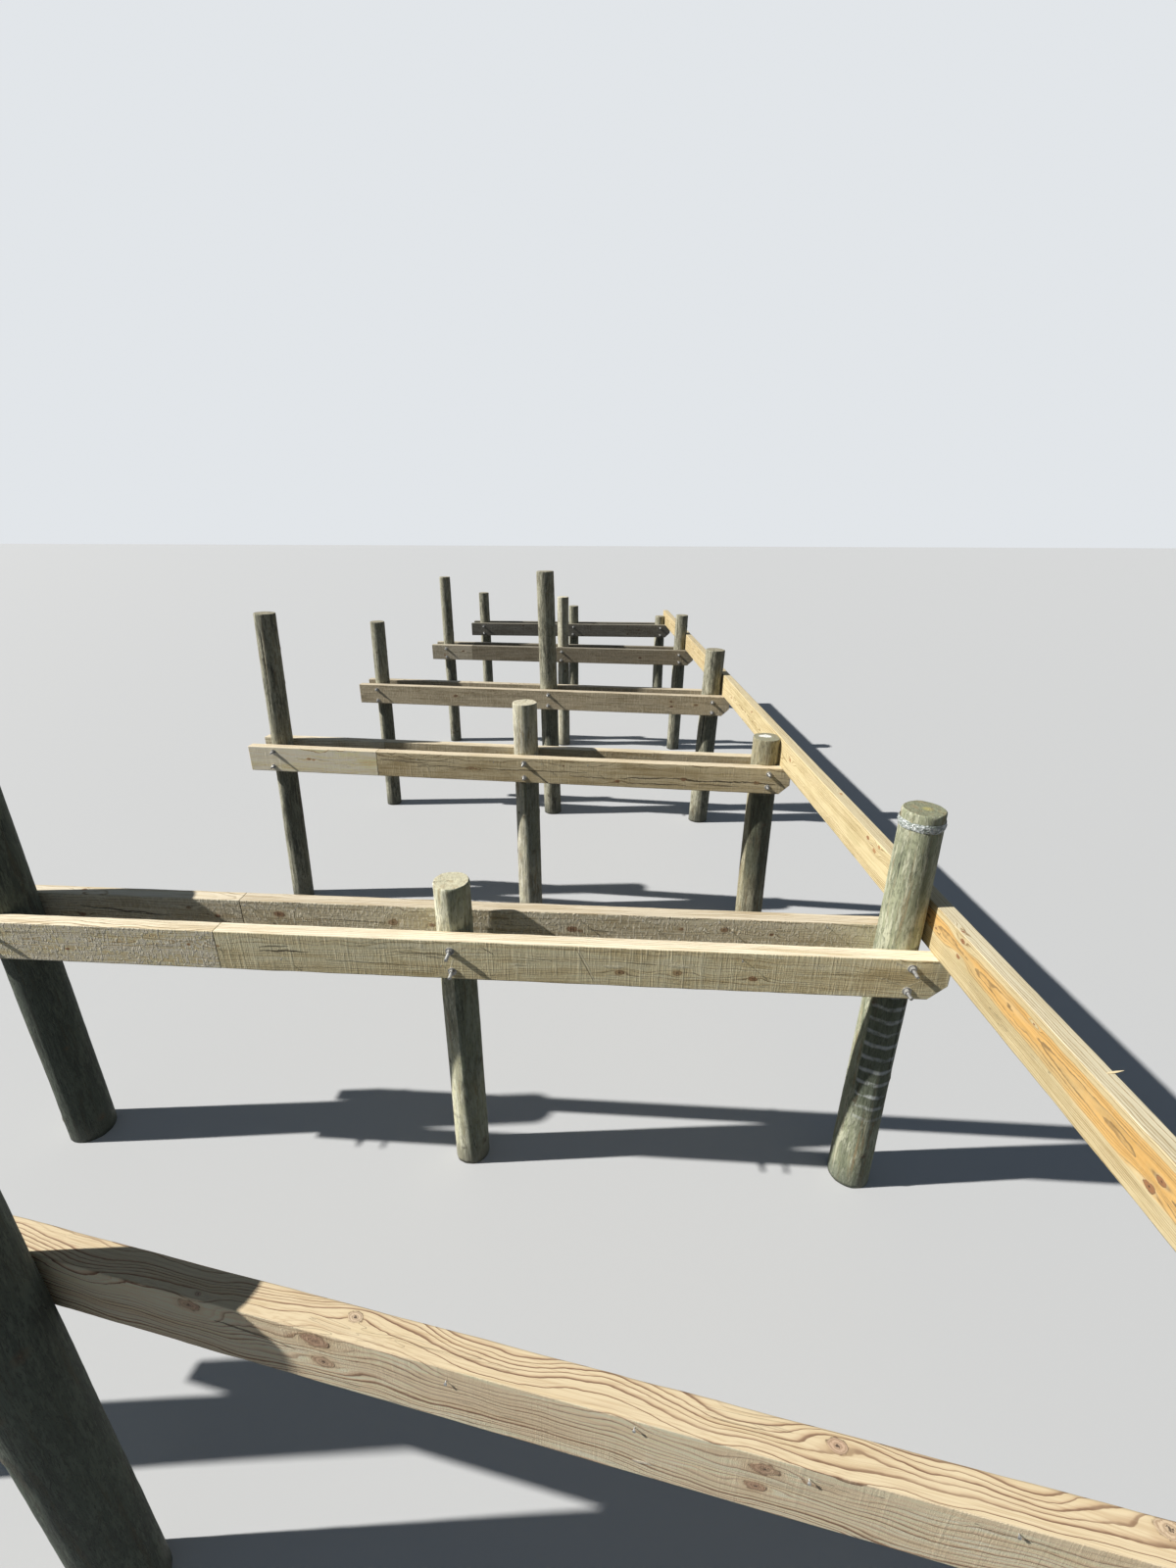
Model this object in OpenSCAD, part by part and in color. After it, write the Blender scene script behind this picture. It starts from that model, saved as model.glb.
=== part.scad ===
// Timber jetty frame: rows of round piles clasped by pairs of cross-beams, with a rim beam along the
// outboard side. The bents are lettered from the near end; each stands at its own place and turn.
// Millimetres. X runs across from the bank side to the outboard side, Y along the rim, Z up.
// The origin is the middle of the plan at the level of the pile feet.

/* [Levels and timbers] */
// Height of the cross-beam tops above the pile feet
beam_top = 1690; // [900:1:3000]
// Depth of a cross-beam
beam_depth = 235; // [150:1:300]
// Thickness of a cross-beam
beam_thickness = 84; // [45:1:120]
// Depth of the rim beam
rim_depth = 240; // [150:1:300]
// Thickness of the rim beam
rim_thickness = 84; // [45:1:120]
// Radius of the eased long edges of every sawn timber
edge_radius = 5; // [1:0.5:12]
// Leg of the slant cut off the lower outboard corner of every cross-beam
end_cut = 86; // [20:1:140]
// How far a cross-beam runs past the centre of its bank-side pile
bank_overhang = 240; // [180:1:500]
// Shortest board that makes up the bank-side rest of a spliced cross-beam
least_board = 560; // [300:1:1200]

/* [Rim beam] */
// How far the rim beam runs past bent A at the near end
rim_near_overhang = 400; // [250:5:900]
// How far the rim beam runs past the far cross-beam of bent F
rim_far_overhang = 20; // [0:5:600]

/* [Bays] */
// Distance from bent A to bent B along the rim
bay_ab = 2140; // [1500:5:3600]
// Distance from bent B to bent C along the rim
bay_bc = 2635; // [1800:5:3600]
// Distance from bent C to bent D along the rim
bay_cd = 2405; // [1800:5:3600]
// Distance from bent D to bent E along the rim
bay_de = 2875; // [1800:5:3600]
// Distance from bent E to bent F along the rim
bay_ef = 2615; // [1800:5:3600]

/* [Piles] */
// How much a pile widens in diameter for each metre down
pile_taper = 5; // [0:0.5:12]
// The same widening for the outer pile of bent B, which stands butt down
b_outer_taper = 17; // [0:0.5:20]
// Width of the worn bevel round a pile top
top_bevel = 5; // [1:0.5:12]
// How deep a slim pile beds into the cross-beam it bears on
bearing = 0.4; // [0.2:0.1:2]
// Sideways lean of the bank-side pile of bent C, in degrees
c_bank_lean = 2; // [-3:0.1:3]
// Sideways lean of the bank-side pile of bent D, in degrees
d_bank_lean = 0.9; // [-3:0.1:3]
// Sideways lean of the middle pile of bent D, in degrees
d_middle_lean = -0.9; // [-3:0.1:3]
// Sideways lean of the outer pile of bent D, in degrees
d_outer_lean = 1.8; // [-3:0.1:3]
// Sideways lean of the outer pile of bent E, in degrees
e_outer_lean = 1; // [-3:0.1:3]

/* [Bent A] */
// Turn of bent A in plan from square to the rim, in degrees
a_turn = 13.5; // [0:0.05:16]
// How far the cross-beams of bent A run out past the rim beam's inner face
a_run_out = 72; // [50:1:200]
// Distance along the bent from the rim beam's inner face to the bank-side pile of bent A
a_bank_reach = 5200; // [3200:1:6500]
// Distance along the bent from the rim beam's inner face to the middle pile of bent A
a_middle_reach = 3480; // [1500:1:3900]
// Distance along the bent from the rim beam's inner face to the outer pile of bent A
a_outer_reach = 128; // [95:1:350]
// Diameter of the bank-side pile of bent A at the cross-beam tops
a_bank_diameter = 240; // [150:1:300]
// Diameter of the middle pile of bent A at the cross-beam tops
a_middle_diameter = 235; // [150:1:300]
// Diameter of the outer pile of bent A at the cross-beam tops
a_outer_diameter = 216; // [150:1:300]
// Rise of the bank-side pile of bent A above the cross-beam tops
a_bank_rise = 880; // [60:1:1800]
// Rise of the middle pile of bent A above the cross-beam tops
a_middle_rise = 545; // [60:1:1800]
// Rise of the outer pile of bent A above the cross-beam tops
a_outer_rise = 480; // [60:1:1800]

/* [Bent B] */
// Turn of bent B in plan from square to the rim, in degrees
b_turn = 4.65; // [0:0.05:16]
// Clear distance between the two cross-beams of bent B
b_gap = 214; // [160:1:260]
// How far the cross-beams of bent B run out past the rim beam's inner face
b_run_out = 73; // [50:1:200]
// Length of the long boards of bent B's spliced cross-beams, from their outboard ends
b_long_board = 3732; // [2900:1:4200]
// Distance along the bent from the rim beam's inner face to the bank-side pile of bent B
b_bank_reach = 4930; // [3200:1:6500]
// Distance along the bent from the rim beam's inner face to the middle pile of bent B
b_middle_reach = 2435; // [1500:1:3900]
// Distance along the bent from the rim beam's inner face to the outer pile of bent B
b_outer_reach = 128; // [95:1:350]
// Diameter of the bank-side pile of bent B at the cross-beam tops
b_bank_diameter = 250; // [150:1:300]
// Diameter of the middle pile of bent B at the cross-beam tops
b_middle_diameter = 196; // [150:1:300]
// Diameter of the outer pile of bent B at the cross-beam tops
b_outer_diameter = 214; // [150:1:300]
// Rise of the bank-side pile of bent B above the cross-beam tops
b_bank_rise = 730; // [60:1:1800]
// Rise of the middle pile of bent B above the cross-beam tops
b_middle_rise = 245; // [60:1:1800]
// Rise of the outer pile of bent B above the cross-beam tops
b_outer_rise = 725; // [60:1:1800]

/* [Bent C] */
// Turn of bent C in plan from square to the rim, in degrees
c_turn = 7.5; // [0:0.05:16]
// Clear distance between the two cross-beams of bent C
c_gap = 195; // [160:1:260]
// How far the cross-beams of bent C run out past the rim beam's inner face
c_run_out = 75; // [50:1:200]
// Length of the long boards of bent C's spliced cross-beams, from their outboard ends
c_long_board = 3680; // [2900:1:4200]
// Distance along the bent from the rim beam's inner face to the bank-side pile of bent C
c_bank_reach = 4600; // [3200:1:6500]
// Distance along the bent from the rim beam's inner face to the middle pile of bent C
c_middle_reach = 2255; // [1500:1:3900]
// Distance along the bent from the rim beam's inner face to the outer pile of bent C
c_outer_reach = 125; // [95:1:350]
// Diameter of the bank-side pile of bent C at the cross-beam tops
c_bank_diameter = 190; // [150:1:300]
// Diameter of the middle pile of bent C at the cross-beam tops
c_middle_diameter = 222; // [150:1:300]
// Diameter of the outer pile of bent C at the cross-beam tops
c_outer_diameter = 242; // [150:1:300]
// Rise of the bank-side pile of bent C above the cross-beam tops
c_bank_rise = 1190; // [60:1:1800]
// Rise of the middle pile of bent C above the cross-beam tops
c_middle_rise = 460; // [60:1:1800]
// Rise of the outer pile of bent C above the cross-beam tops
c_outer_rise = 225; // [60:1:1800]

/* [Bent D] */
// Turn of bent D in plan from square to the rim, in degrees
d_turn = 8.15; // [0:0.05:16]
// Clear distance between the two cross-beams of bent D
d_gap = 202; // [160:1:260]
// How far the cross-beams of bent D run out past the rim beam's inner face
d_run_out = 71; // [50:1:200]
// Distance along the bent from the rim beam's inner face to the bank-side pile of bent D
d_bank_reach = 4295; // [3200:1:6500]
// Distance along the bent from the rim beam's inner face to the middle pile of bent D
d_middle_reach = 2140; // [1500:1:3900]
// Distance along the bent from the rim beam's inner face to the outer pile of bent D
d_outer_reach = 142; // [95:1:350]
// Diameter of the bank-side pile of bent D at the cross-beam tops
d_bank_diameter = 178; // [150:1:300]
// Diameter of the middle pile of bent D at the cross-beam tops
d_middle_diameter = 214; // [150:1:300]
// Diameter of the outer pile of bent D at the cross-beam tops
d_outer_diameter = 228; // [150:1:300]
// Rise of the bank-side pile of bent D above the cross-beam tops
d_bank_rise = 760; // [60:1:1800]
// Rise of the middle pile of bent D above the cross-beam tops
d_middle_rise = 1385; // [60:1:1800]
// Rise of the outer pile of bent D above the cross-beam tops
d_outer_rise = 525; // [60:1:1800]

/* [Bent E] */
// Turn of bent E in plan from square to the rim, in degrees
e_turn = 7.05; // [0:0.05:16]
// Clear distance between the two cross-beams of bent E
e_gap = 196; // [160:1:260]
// How far the cross-beams of bent E run out past the rim beam's inner face
e_run_out = 113; // [50:1:200]
// Length of the long boards of bent E's spliced cross-beams, from their outboard ends
e_long_board = 3584; // [2900:1:4200]
// Distance along the bent from the rim beam's inner face to the bank-side pile of bent E
e_bank_reach = 3905; // [3200:1:6500]
// Distance along the bent from the rim beam's inner face to the middle pile of bent E
e_middle_reach = 1990; // [1500:1:3900]
// Distance along the bent from the rim beam's inner face to the outer pile of bent E
e_outer_reach = 98; // [93:1:350]
// Diameter of the bank-side pile of bent E at the cross-beam tops
e_bank_diameter = 176; // [150:1:300]
// Diameter of the middle pile of bent E at the cross-beam tops
e_middle_diameter = 186; // [150:1:300]
// Diameter of the outer pile of bent E at the cross-beam tops
e_outer_diameter = 196; // [150:1:300]
// Rise of the bank-side pile of bent E above the cross-beam tops
e_bank_rise = 1060; // [60:1:1800]
// Rise of the middle pile of bent E above the cross-beam tops
e_middle_rise = 780; // [60:1:1800]
// Rise of the outer pile of bent E above the cross-beam tops
e_outer_rise = 530; // [60:1:1800]

/* [Bent F] */
// Turn of bent F in plan from square to the rim, in degrees
f_turn = 3.5; // [0:0.05:16]
// Clear distance between the two cross-beams of bent F
f_gap = 194; // [160:1:260]
// How far the cross-beams of bent F run out past the rim beam's inner face
f_run_out = 92; // [50:1:200]
// Distance along the bent from the rim beam's inner face to the bank-side pile of bent F
f_bank_reach = 3565; // [3200:1:6500]
// Distance along the bent from the rim beam's inner face to the middle pile of bent F
f_middle_reach = 1800; // [1500:1:3900]
// Distance along the bent from the rim beam's inner face to the outer pile of bent F
f_outer_reach = 97; // [92:1:350]
// Diameter of the bank-side pile of bent F at the cross-beam tops
f_bank_diameter = 196; // [150:1:300]
// Diameter of the middle pile of bent F at the cross-beam tops
f_middle_diameter = 188; // [150:1:300]
// Diameter of the outer pile of bent F at the cross-beam tops
f_outer_diameter = 194; // [150:1:300]
// Rise of the bank-side pile of bent F above the cross-beam tops
f_bank_rise = 565; // [60:1:1800]
// Rise of the middle pile of bent F above the cross-beam tops
f_middle_rise = 330; // [60:1:1800]
// Rise of the outer pile of bent F above the cross-beam tops
f_outer_rise = 150; // [60:1:1800]

/* [Hidden] */
// Every sub-part by name
// Which sub-part to draw
// Smoothness of the round surfaces
$fn = 64;

// Bent positions in the row
A = 0;
B = 1;
C = 2;
D = 3;
E = 4;
F = 5;
// Colours of the timbers
PILE_COLOUR = [0.50, 0.50, 0.38];
BEAM_COLOUR = [0.70, 0.63, 0.46];
RIM_COLOUR = [0.90, 0.74, 0.45];

// Place of each bent along the rim, measured at the rim's inner face
along = [
    0,
    bay_ab,
    bay_ab + bay_bc,
    bay_ab + bay_bc + bay_cd,
    bay_ab + bay_bc + bay_cd + bay_de,
    bay_ab + bay_bc + bay_cd + bay_de + bay_ef
];
turn = [a_turn, b_turn, c_turn, d_turn, e_turn, f_turn];
gap = [0, b_gap, c_gap, d_gap, e_gap, f_gap];
run_out = [a_run_out, b_run_out, c_run_out, d_run_out, e_run_out, f_run_out];
bank_reach = [a_bank_reach, b_bank_reach, c_bank_reach, d_bank_reach, e_bank_reach, f_bank_reach];
// Long board of each bent whose cross-beams are made up of two boards, zero where they are whole
long_board = [0, b_long_board, c_long_board, 0, e_long_board, 0];

// Distance of the far cross-beam's near face behind the near face of its bent
function far_face(i) = beam_thickness + gap[i];

// Place along a bent of an outboard beam end whose near face lies off behind the bent's near face
function outboard_end(i, off) = (run_out[i] - off * sin(turn[i])) / cos(turn[i]);

// Place along a bent of its bank-side beam ends, past the pile and past the shortest board of a splice
function bank_end(i) = min(
    -(bank_reach[i] + bank_overhang),
    long_board[i] > 0 ? outboard_end(i, 0) - long_board[i] - least_board : 0
);

// Place along the rim of a joint in the rim beam, over the far cross-beam
function rim_joint(i) = along[i] + (far_face(i) + beam_thickness / 2) / cos(turn[i]);

// Plan limits of the frame, for the origin
x_low = min([for (i = [A:F]) bank_end(i) * cos(turn[i])]);
x_high = max([
    rim_thickness,
    for (i = [A:F]) run_out[i] + (i == A ? beam_thickness : 0) * sin(turn[i]),
    for (i = [B:F]) run_out[i] + beam_thickness * sin(turn[i])
]);
y_low = -rim_near_overhang;
y_high = max([
    for (i = [B:F]) along[i] + (far_face(i) + beam_thickness) * cos(turn[i]) - bank_end(i) * sin(turn[i])
]);
plan_middle = [(x_low + x_high) / 2, (y_low + y_high) / 2, 0];
// Far end of the rim beam
rim_far_end = along[F] + (far_face(F) + beam_thickness) / cos(turn[F]) + rim_far_overhang;
// Room for cutting tools beyond the surfaces they cut
CLEAR = 50;
// Depth kept for the pile stock below its foot before the foot is cut level
STUB = 120;

// Moves children from the corner at the rim's inner face and beam-top level into the frame of the jetty
module on_plan() {
    translate([0, 0, beam_top] - plan_middle) children();
}

// Moves children to a bent: X along its cross-beams, Y away from its near face
module on_bent(i) {
    on_plan() translate([0, along[i], 0]) rotate([0, 0, -turn[i]]) children();
}

// Rectangle with eased corners, its top edge at zero height
module timber_section(thickness, depth) {
    r = edge_radius;
    translate([r, -depth]) square([thickness - 2 * r, depth]);
    translate([0, r - depth]) square([thickness, depth - 2 * r]);
    for (x = [r, thickness - r], y = [-r, r - depth]) translate([x, y]) circle(r);
}

// Straight timber along X from start to finish, its near face at y zero and its top at z zero
module timber(start, finish, thickness, depth) {
    translate([start, 0, 0]) rotate([90, 0, 90])
        linear_extrude(finish - start) timber_section(thickness, depth);
}

// Cross-beam with the slant cut on its lower outboard corner
module cut_beam(start, finish) {
    difference() {
        timber(start, finish, beam_thickness, beam_depth);
        translate([finish, -CLEAR, -beam_depth]) rotate([-90, 0, 0])
            linear_extrude(beam_thickness + 2 * CLEAR)
            polygon([[-end_cut - CLEAR, CLEAR], [CLEAR, -end_cut - CLEAR], [CLEAR, CLEAR]]);
    }
}

// Cross-beam of bent i whose near face lies off behind the bent's near face
module whole_beam(i, off) {
    finish = outboard_end(i, off);
    color(BEAM_COLOUR) on_bent(i) translate([0, off, 0]) cut_beam(bank_end(i), finish);
}

// Long outboard board of a spliced cross-beam
module long_part(i, off) {
    finish = outboard_end(i, off);
    color(BEAM_COLOUR) on_bent(i) translate([0, off, 0]) cut_beam(finish - long_board[i], finish);
}

// Short bank-side board that butts against the long one
module short_part(i, off) {
    finish = outboard_end(i, off) - long_board[i];
    color(BEAM_COLOUR) on_bent(i) translate([0, off, 0])
        timber(bank_end(i), finish, beam_thickness, beam_depth);
}

// Room taken by a cross-beam where it meets a pile, open on the side away from the pile
module seat_cut(off, side, width) {
    translate([-width / 2, off + (side < 0 ? -width : 0), -beam_depth]) cube([width, width, beam_depth]);
}

// Round pile of bent i, upright but for its lean, seated against the cross-beams
module pile(i, reach, diameter, rise, taper = pile_taper, lean = 0) {
    spread = taper / 2 / 1000;
    seat_radius = diameter / 2 + spread * beam_depth;
    foot_radius = diameter / 2 + spread * (beam_top + STUB);
    top_radius = diameter / 2 - spread * (rise - top_bevel);
    middle = i == A ? bearing - seat_radius : beam_thickness + min(gap[i] / 2, seat_radius - bearing);
    color(PILE_COLOUR) on_bent(i) translate([-reach, middle, 0]) difference() {
        rotate([0, lean, 0]) {
            translate([0, 0, -beam_top - STUB])
                cylinder(h = beam_top + STUB + rise - top_bevel, r1 = foot_radius, r2 = top_radius);
            translate([0, 0, rise - top_bevel])
                cylinder(h = top_bevel, r1 = top_radius, r2 = top_radius - top_bevel);
        }
        translate([-diameter, -diameter, -beam_top - 2 * STUB]) cube([2 * diameter, 2 * diameter, 2 * STUB]);
        if (i == A) seat_cut(-middle, 1, 2 * diameter);
        else {
            seat_cut(beam_thickness - middle, -1, 2 * diameter);
            seat_cut(far_face(i) - middle, 1, 2 * diameter);
        }
    }
}

// Outer pile of bent i, notched flat where the rim beam passes
module outer_pile(i, reach, diameter, rise, taper = pile_taper, lean = 0) {
    color(PILE_COLOUR) difference() {
        pile(i, reach, diameter, rise, taper, lean);
        on_plan() translate([0, y_low - CLEAR, 0])
            cube([rim_thickness, rim_far_end - y_low + 2 * CLEAR, rim_depth]);
    }
}

// Length of the rim beam from start to finish, lying on the cross-beams
module rim_length(start, finish) {
    color(RIM_COLOUR) on_plan() translate([rim_thickness, 0, rim_depth]) rotate([0, 0, 90])
        timber(start, finish, rim_thickness, rim_depth);
}

module a_bank_pile() {
    pile(A, a_bank_reach, a_bank_diameter, a_bank_rise);
}

module a_middle_pile() {
    pile(A, a_middle_reach, a_middle_diameter, a_middle_rise);
}

module a_outer_pile() {
    outer_pile(A, a_outer_reach, a_outer_diameter, a_outer_rise);
}

module b_bank_pile() {
    pile(B, b_bank_reach, b_bank_diameter, b_bank_rise);
}

module b_middle_pile() {
    pile(B, b_middle_reach, b_middle_diameter, b_middle_rise);
}

module b_outer_pile() {
    outer_pile(B, b_outer_reach, b_outer_diameter, b_outer_rise, taper = b_outer_taper);
}

module c_bank_pile() {
    pile(C, c_bank_reach, c_bank_diameter, c_bank_rise, lean = c_bank_lean);
}

module c_middle_pile() {
    pile(C, c_middle_reach, c_middle_diameter, c_middle_rise);
}

module c_outer_pile() {
    outer_pile(C, c_outer_reach, c_outer_diameter, c_outer_rise);
}

module d_bank_pile() {
    pile(D, d_bank_reach, d_bank_diameter, d_bank_rise, lean = d_bank_lean);
}

module d_middle_pile() {
    pile(D, d_middle_reach, d_middle_diameter, d_middle_rise, lean = d_middle_lean);
}

module d_outer_pile() {
    outer_pile(D, d_outer_reach, d_outer_diameter, d_outer_rise, lean = d_outer_lean);
}

module e_bank_pile() {
    pile(E, e_bank_reach, e_bank_diameter, e_bank_rise);
}

module e_middle_pile() {
    pile(E, e_middle_reach, e_middle_diameter, e_middle_rise);
}

module e_outer_pile() {
    outer_pile(E, e_outer_reach, e_outer_diameter, e_outer_rise, lean = e_outer_lean);
}

module f_bank_pile() {
    pile(F, f_bank_reach, f_bank_diameter, f_bank_rise);
}

module f_middle_pile() {
    pile(F, f_middle_reach, f_middle_diameter, f_middle_rise);
}

module f_outer_pile() {
    outer_pile(F, f_outer_reach, f_outer_diameter, f_outer_rise);
}

module a_cross_beam() {
    whole_beam(A, 0);
}

module b_near_beam() {
    long_part(B, 0);
}

module b_near_bank_end() {
    short_part(B, 0);
}

module b_far_beam() {
    long_part(B, far_face(B));
}

module b_far_bank_end() {
    short_part(B, far_face(B));
}

module c_near_beam() {
    long_part(C, 0);
}

module c_near_bank_end() {
    short_part(C, 0);
}

module c_far_beam() {
    long_part(C, far_face(C));
}

module c_far_bank_end() {
    short_part(C, far_face(C));
}

module d_near_beam() {
    whole_beam(D, 0);
}

module d_far_beam() {
    whole_beam(D, far_face(D));
}

module e_near_beam() {
    long_part(E, 0);
}

module e_near_bank_end() {
    short_part(E, 0);
}

module e_far_beam() {
    long_part(E, far_face(E));
}

module e_far_bank_end() {
    short_part(E, far_face(E));
}

module f_near_beam() {
    whole_beam(F, 0);
}

module f_far_beam() {
    whole_beam(F, far_face(F));
}

module rim_near_length() {
    rim_length(y_low, rim_joint(B));
}

module rim_middle_length() {
    rim_length(rim_joint(B), rim_joint(D));
}

module rim_far_length() {
    rim_length(rim_joint(D), rim_far_end);
}

a_bank_pile();
a_middle_pile();
a_outer_pile();
b_bank_pile();
b_middle_pile();
b_outer_pile();
c_bank_pile();
c_middle_pile();
c_outer_pile();
d_bank_pile();
d_middle_pile();
d_outer_pile();
e_bank_pile();
e_middle_pile();
e_outer_pile();
f_bank_pile();
f_middle_pile();
f_outer_pile();
a_cross_beam();
b_near_beam();
b_near_bank_end();
b_far_beam();
b_far_bank_end();
c_near_beam();
c_near_bank_end();
c_far_beam();
c_far_bank_end();
d_near_beam();
d_far_beam();
e_near_beam();
e_near_bank_end();
e_far_beam();
e_far_bank_end();
f_near_beam();
f_far_beam();
rim_near_length();
rim_middle_length();
rim_far_length();
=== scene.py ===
import math
import random

import bpy
import numpy as np
from mathutils import Matrix, Vector, noise


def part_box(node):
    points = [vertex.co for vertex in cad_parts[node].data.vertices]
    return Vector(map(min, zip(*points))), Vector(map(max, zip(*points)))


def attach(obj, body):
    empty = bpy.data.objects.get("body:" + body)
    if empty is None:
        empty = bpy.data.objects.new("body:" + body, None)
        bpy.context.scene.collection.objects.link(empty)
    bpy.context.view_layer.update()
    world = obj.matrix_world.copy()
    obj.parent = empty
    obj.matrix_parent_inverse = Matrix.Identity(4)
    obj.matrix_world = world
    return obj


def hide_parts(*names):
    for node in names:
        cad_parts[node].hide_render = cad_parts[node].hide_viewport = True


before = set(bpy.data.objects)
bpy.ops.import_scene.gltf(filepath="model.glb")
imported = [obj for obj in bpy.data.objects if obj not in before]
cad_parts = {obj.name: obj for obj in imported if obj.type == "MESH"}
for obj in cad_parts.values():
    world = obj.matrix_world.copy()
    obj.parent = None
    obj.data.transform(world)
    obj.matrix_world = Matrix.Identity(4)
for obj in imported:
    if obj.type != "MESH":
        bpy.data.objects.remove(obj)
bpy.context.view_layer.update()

# Camera, in metres and degrees, in the frame of the CAD model
EYE = (0.816, -6.947, 3.7025)
YAW = 1.194
PITCH = 22.062
ROLL = 0.277
LENS = 15.325
SENSOR = 36.0

# Light: direction in which the key light travels, and its strengths
KEY_DIRECTION = (1.0, 0.035, -0.845)
KEY_STRENGTH = 5.85
KEY_ANGLE = 0.9
KEY_COLOR = (1.0, 0.97, 0.92)
SKY_COLOR = (0.74, 0.97, 1.28)
SKY_STRENGTH = 0.1
BACKDROP = (0.76, 0.79, 0.82)
FLOOR_SEEN = (0.5, 0.51, 0.52)
FLOOR_BOUNCE = (0.06, 0.06, 0.063)
FLOOR_SIZE = 160.0

# Sawn timbers: arris, relief of the wood, spacing of the mesh, wear of the ends, and the rings
EDGE = 0.005
WOOD_RELIEF = 0.0018
BOARD_STEPS = (0.03, 0.02, 0.025)
SUPPORT = 0.002
END_WEAR = 0.0012
LEAST_SLANT = 0.02
SLANT_RUN = 0.3
BOARD_SWEEP = (0.006, 0.01)
RING_STRETCH = 1.15
HEART_BOARD = "rim_near_length"
HEART_RADIUS = 0.1
HEART_BLUR = 0.012
HEART_COLOR = (0.69, 0.425, 0.148)
JOINT_GAP = 0.001
ARRIS_WEAR = {"weathered": 0.3, "grey": 0.34, "fresh": 0.26, "rim": 0.16}

# Piles: spacing of the mesh, rings, unevenness of the side and top, checks, and the heights and spacing
# of the pale level lines
PILE_STEP = 0.026
PILE_COLUMNS = 52
PILE_RING_WIDTH = 0.004
PILE_SWING = 0.08
PILE_INSET = 0.0018
PILE_LOBES = 0.0042
PILE_FLUTES = 0.0022
PILE_DENTS = 0.0009
PILE_WORN = 0.0095
KNOT_BULGE = 0.28
CAP_ROUGH = 0.0016
NO_KNOT = 0.2
CRACK_SHOWN = 0.006
CRACK_TAPER = 0.1
PALE_LINE_SPAN = (0.48, 1.44, 0.086)
CAP_RINGS = (0.985, 0.95, 0.85, 0.7, 0.5, 0.3, 0.13)
SEAT_CLEARANCE = 0.0003

# Through-bolts
ROD_RADIUS = 0.009
NUT_ACROSS = 0.0285
NUT_HEIGHT = 0.016
WASHER_RADIUS = 0.0225
WASHER_THICKNESS = 0.004
THREAD_PITCH = 0.0026
HEAD_RADIUS = 0.0175
HEAD_HEIGHT = 0.009

# Nails
NAIL_RADIUS = 0.0016
NAIL_HEAD_RADIUS = 0.0042
NAIL_HEAD_HEIGHT = 0.002

# Film wound round the tallest outer pile
WRAP_DROP = 0.045
WRAP_WIDTH = 0.04
WRAP_LIFT = 0.0015
WRAP_CRUMPLE = 0.0075
WRAP_COLUMNS = 150
WRAP_ROWS = 9

# Sliver on the rim beam: place from its outboard, outer and upper edges, run and thickness
SLIVER_PLACE = (-1.281, 0.03, -0.0006)
SLIVER_RUN = (0.063, 0.006, 0.005)
SLIVER_THICKNESS = 0.0016
SLIVER_HALVES = ((0.0, 0.0012), (0.25, 0.0045), (0.6, 0.0038), (1.0, 0.0005))


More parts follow.
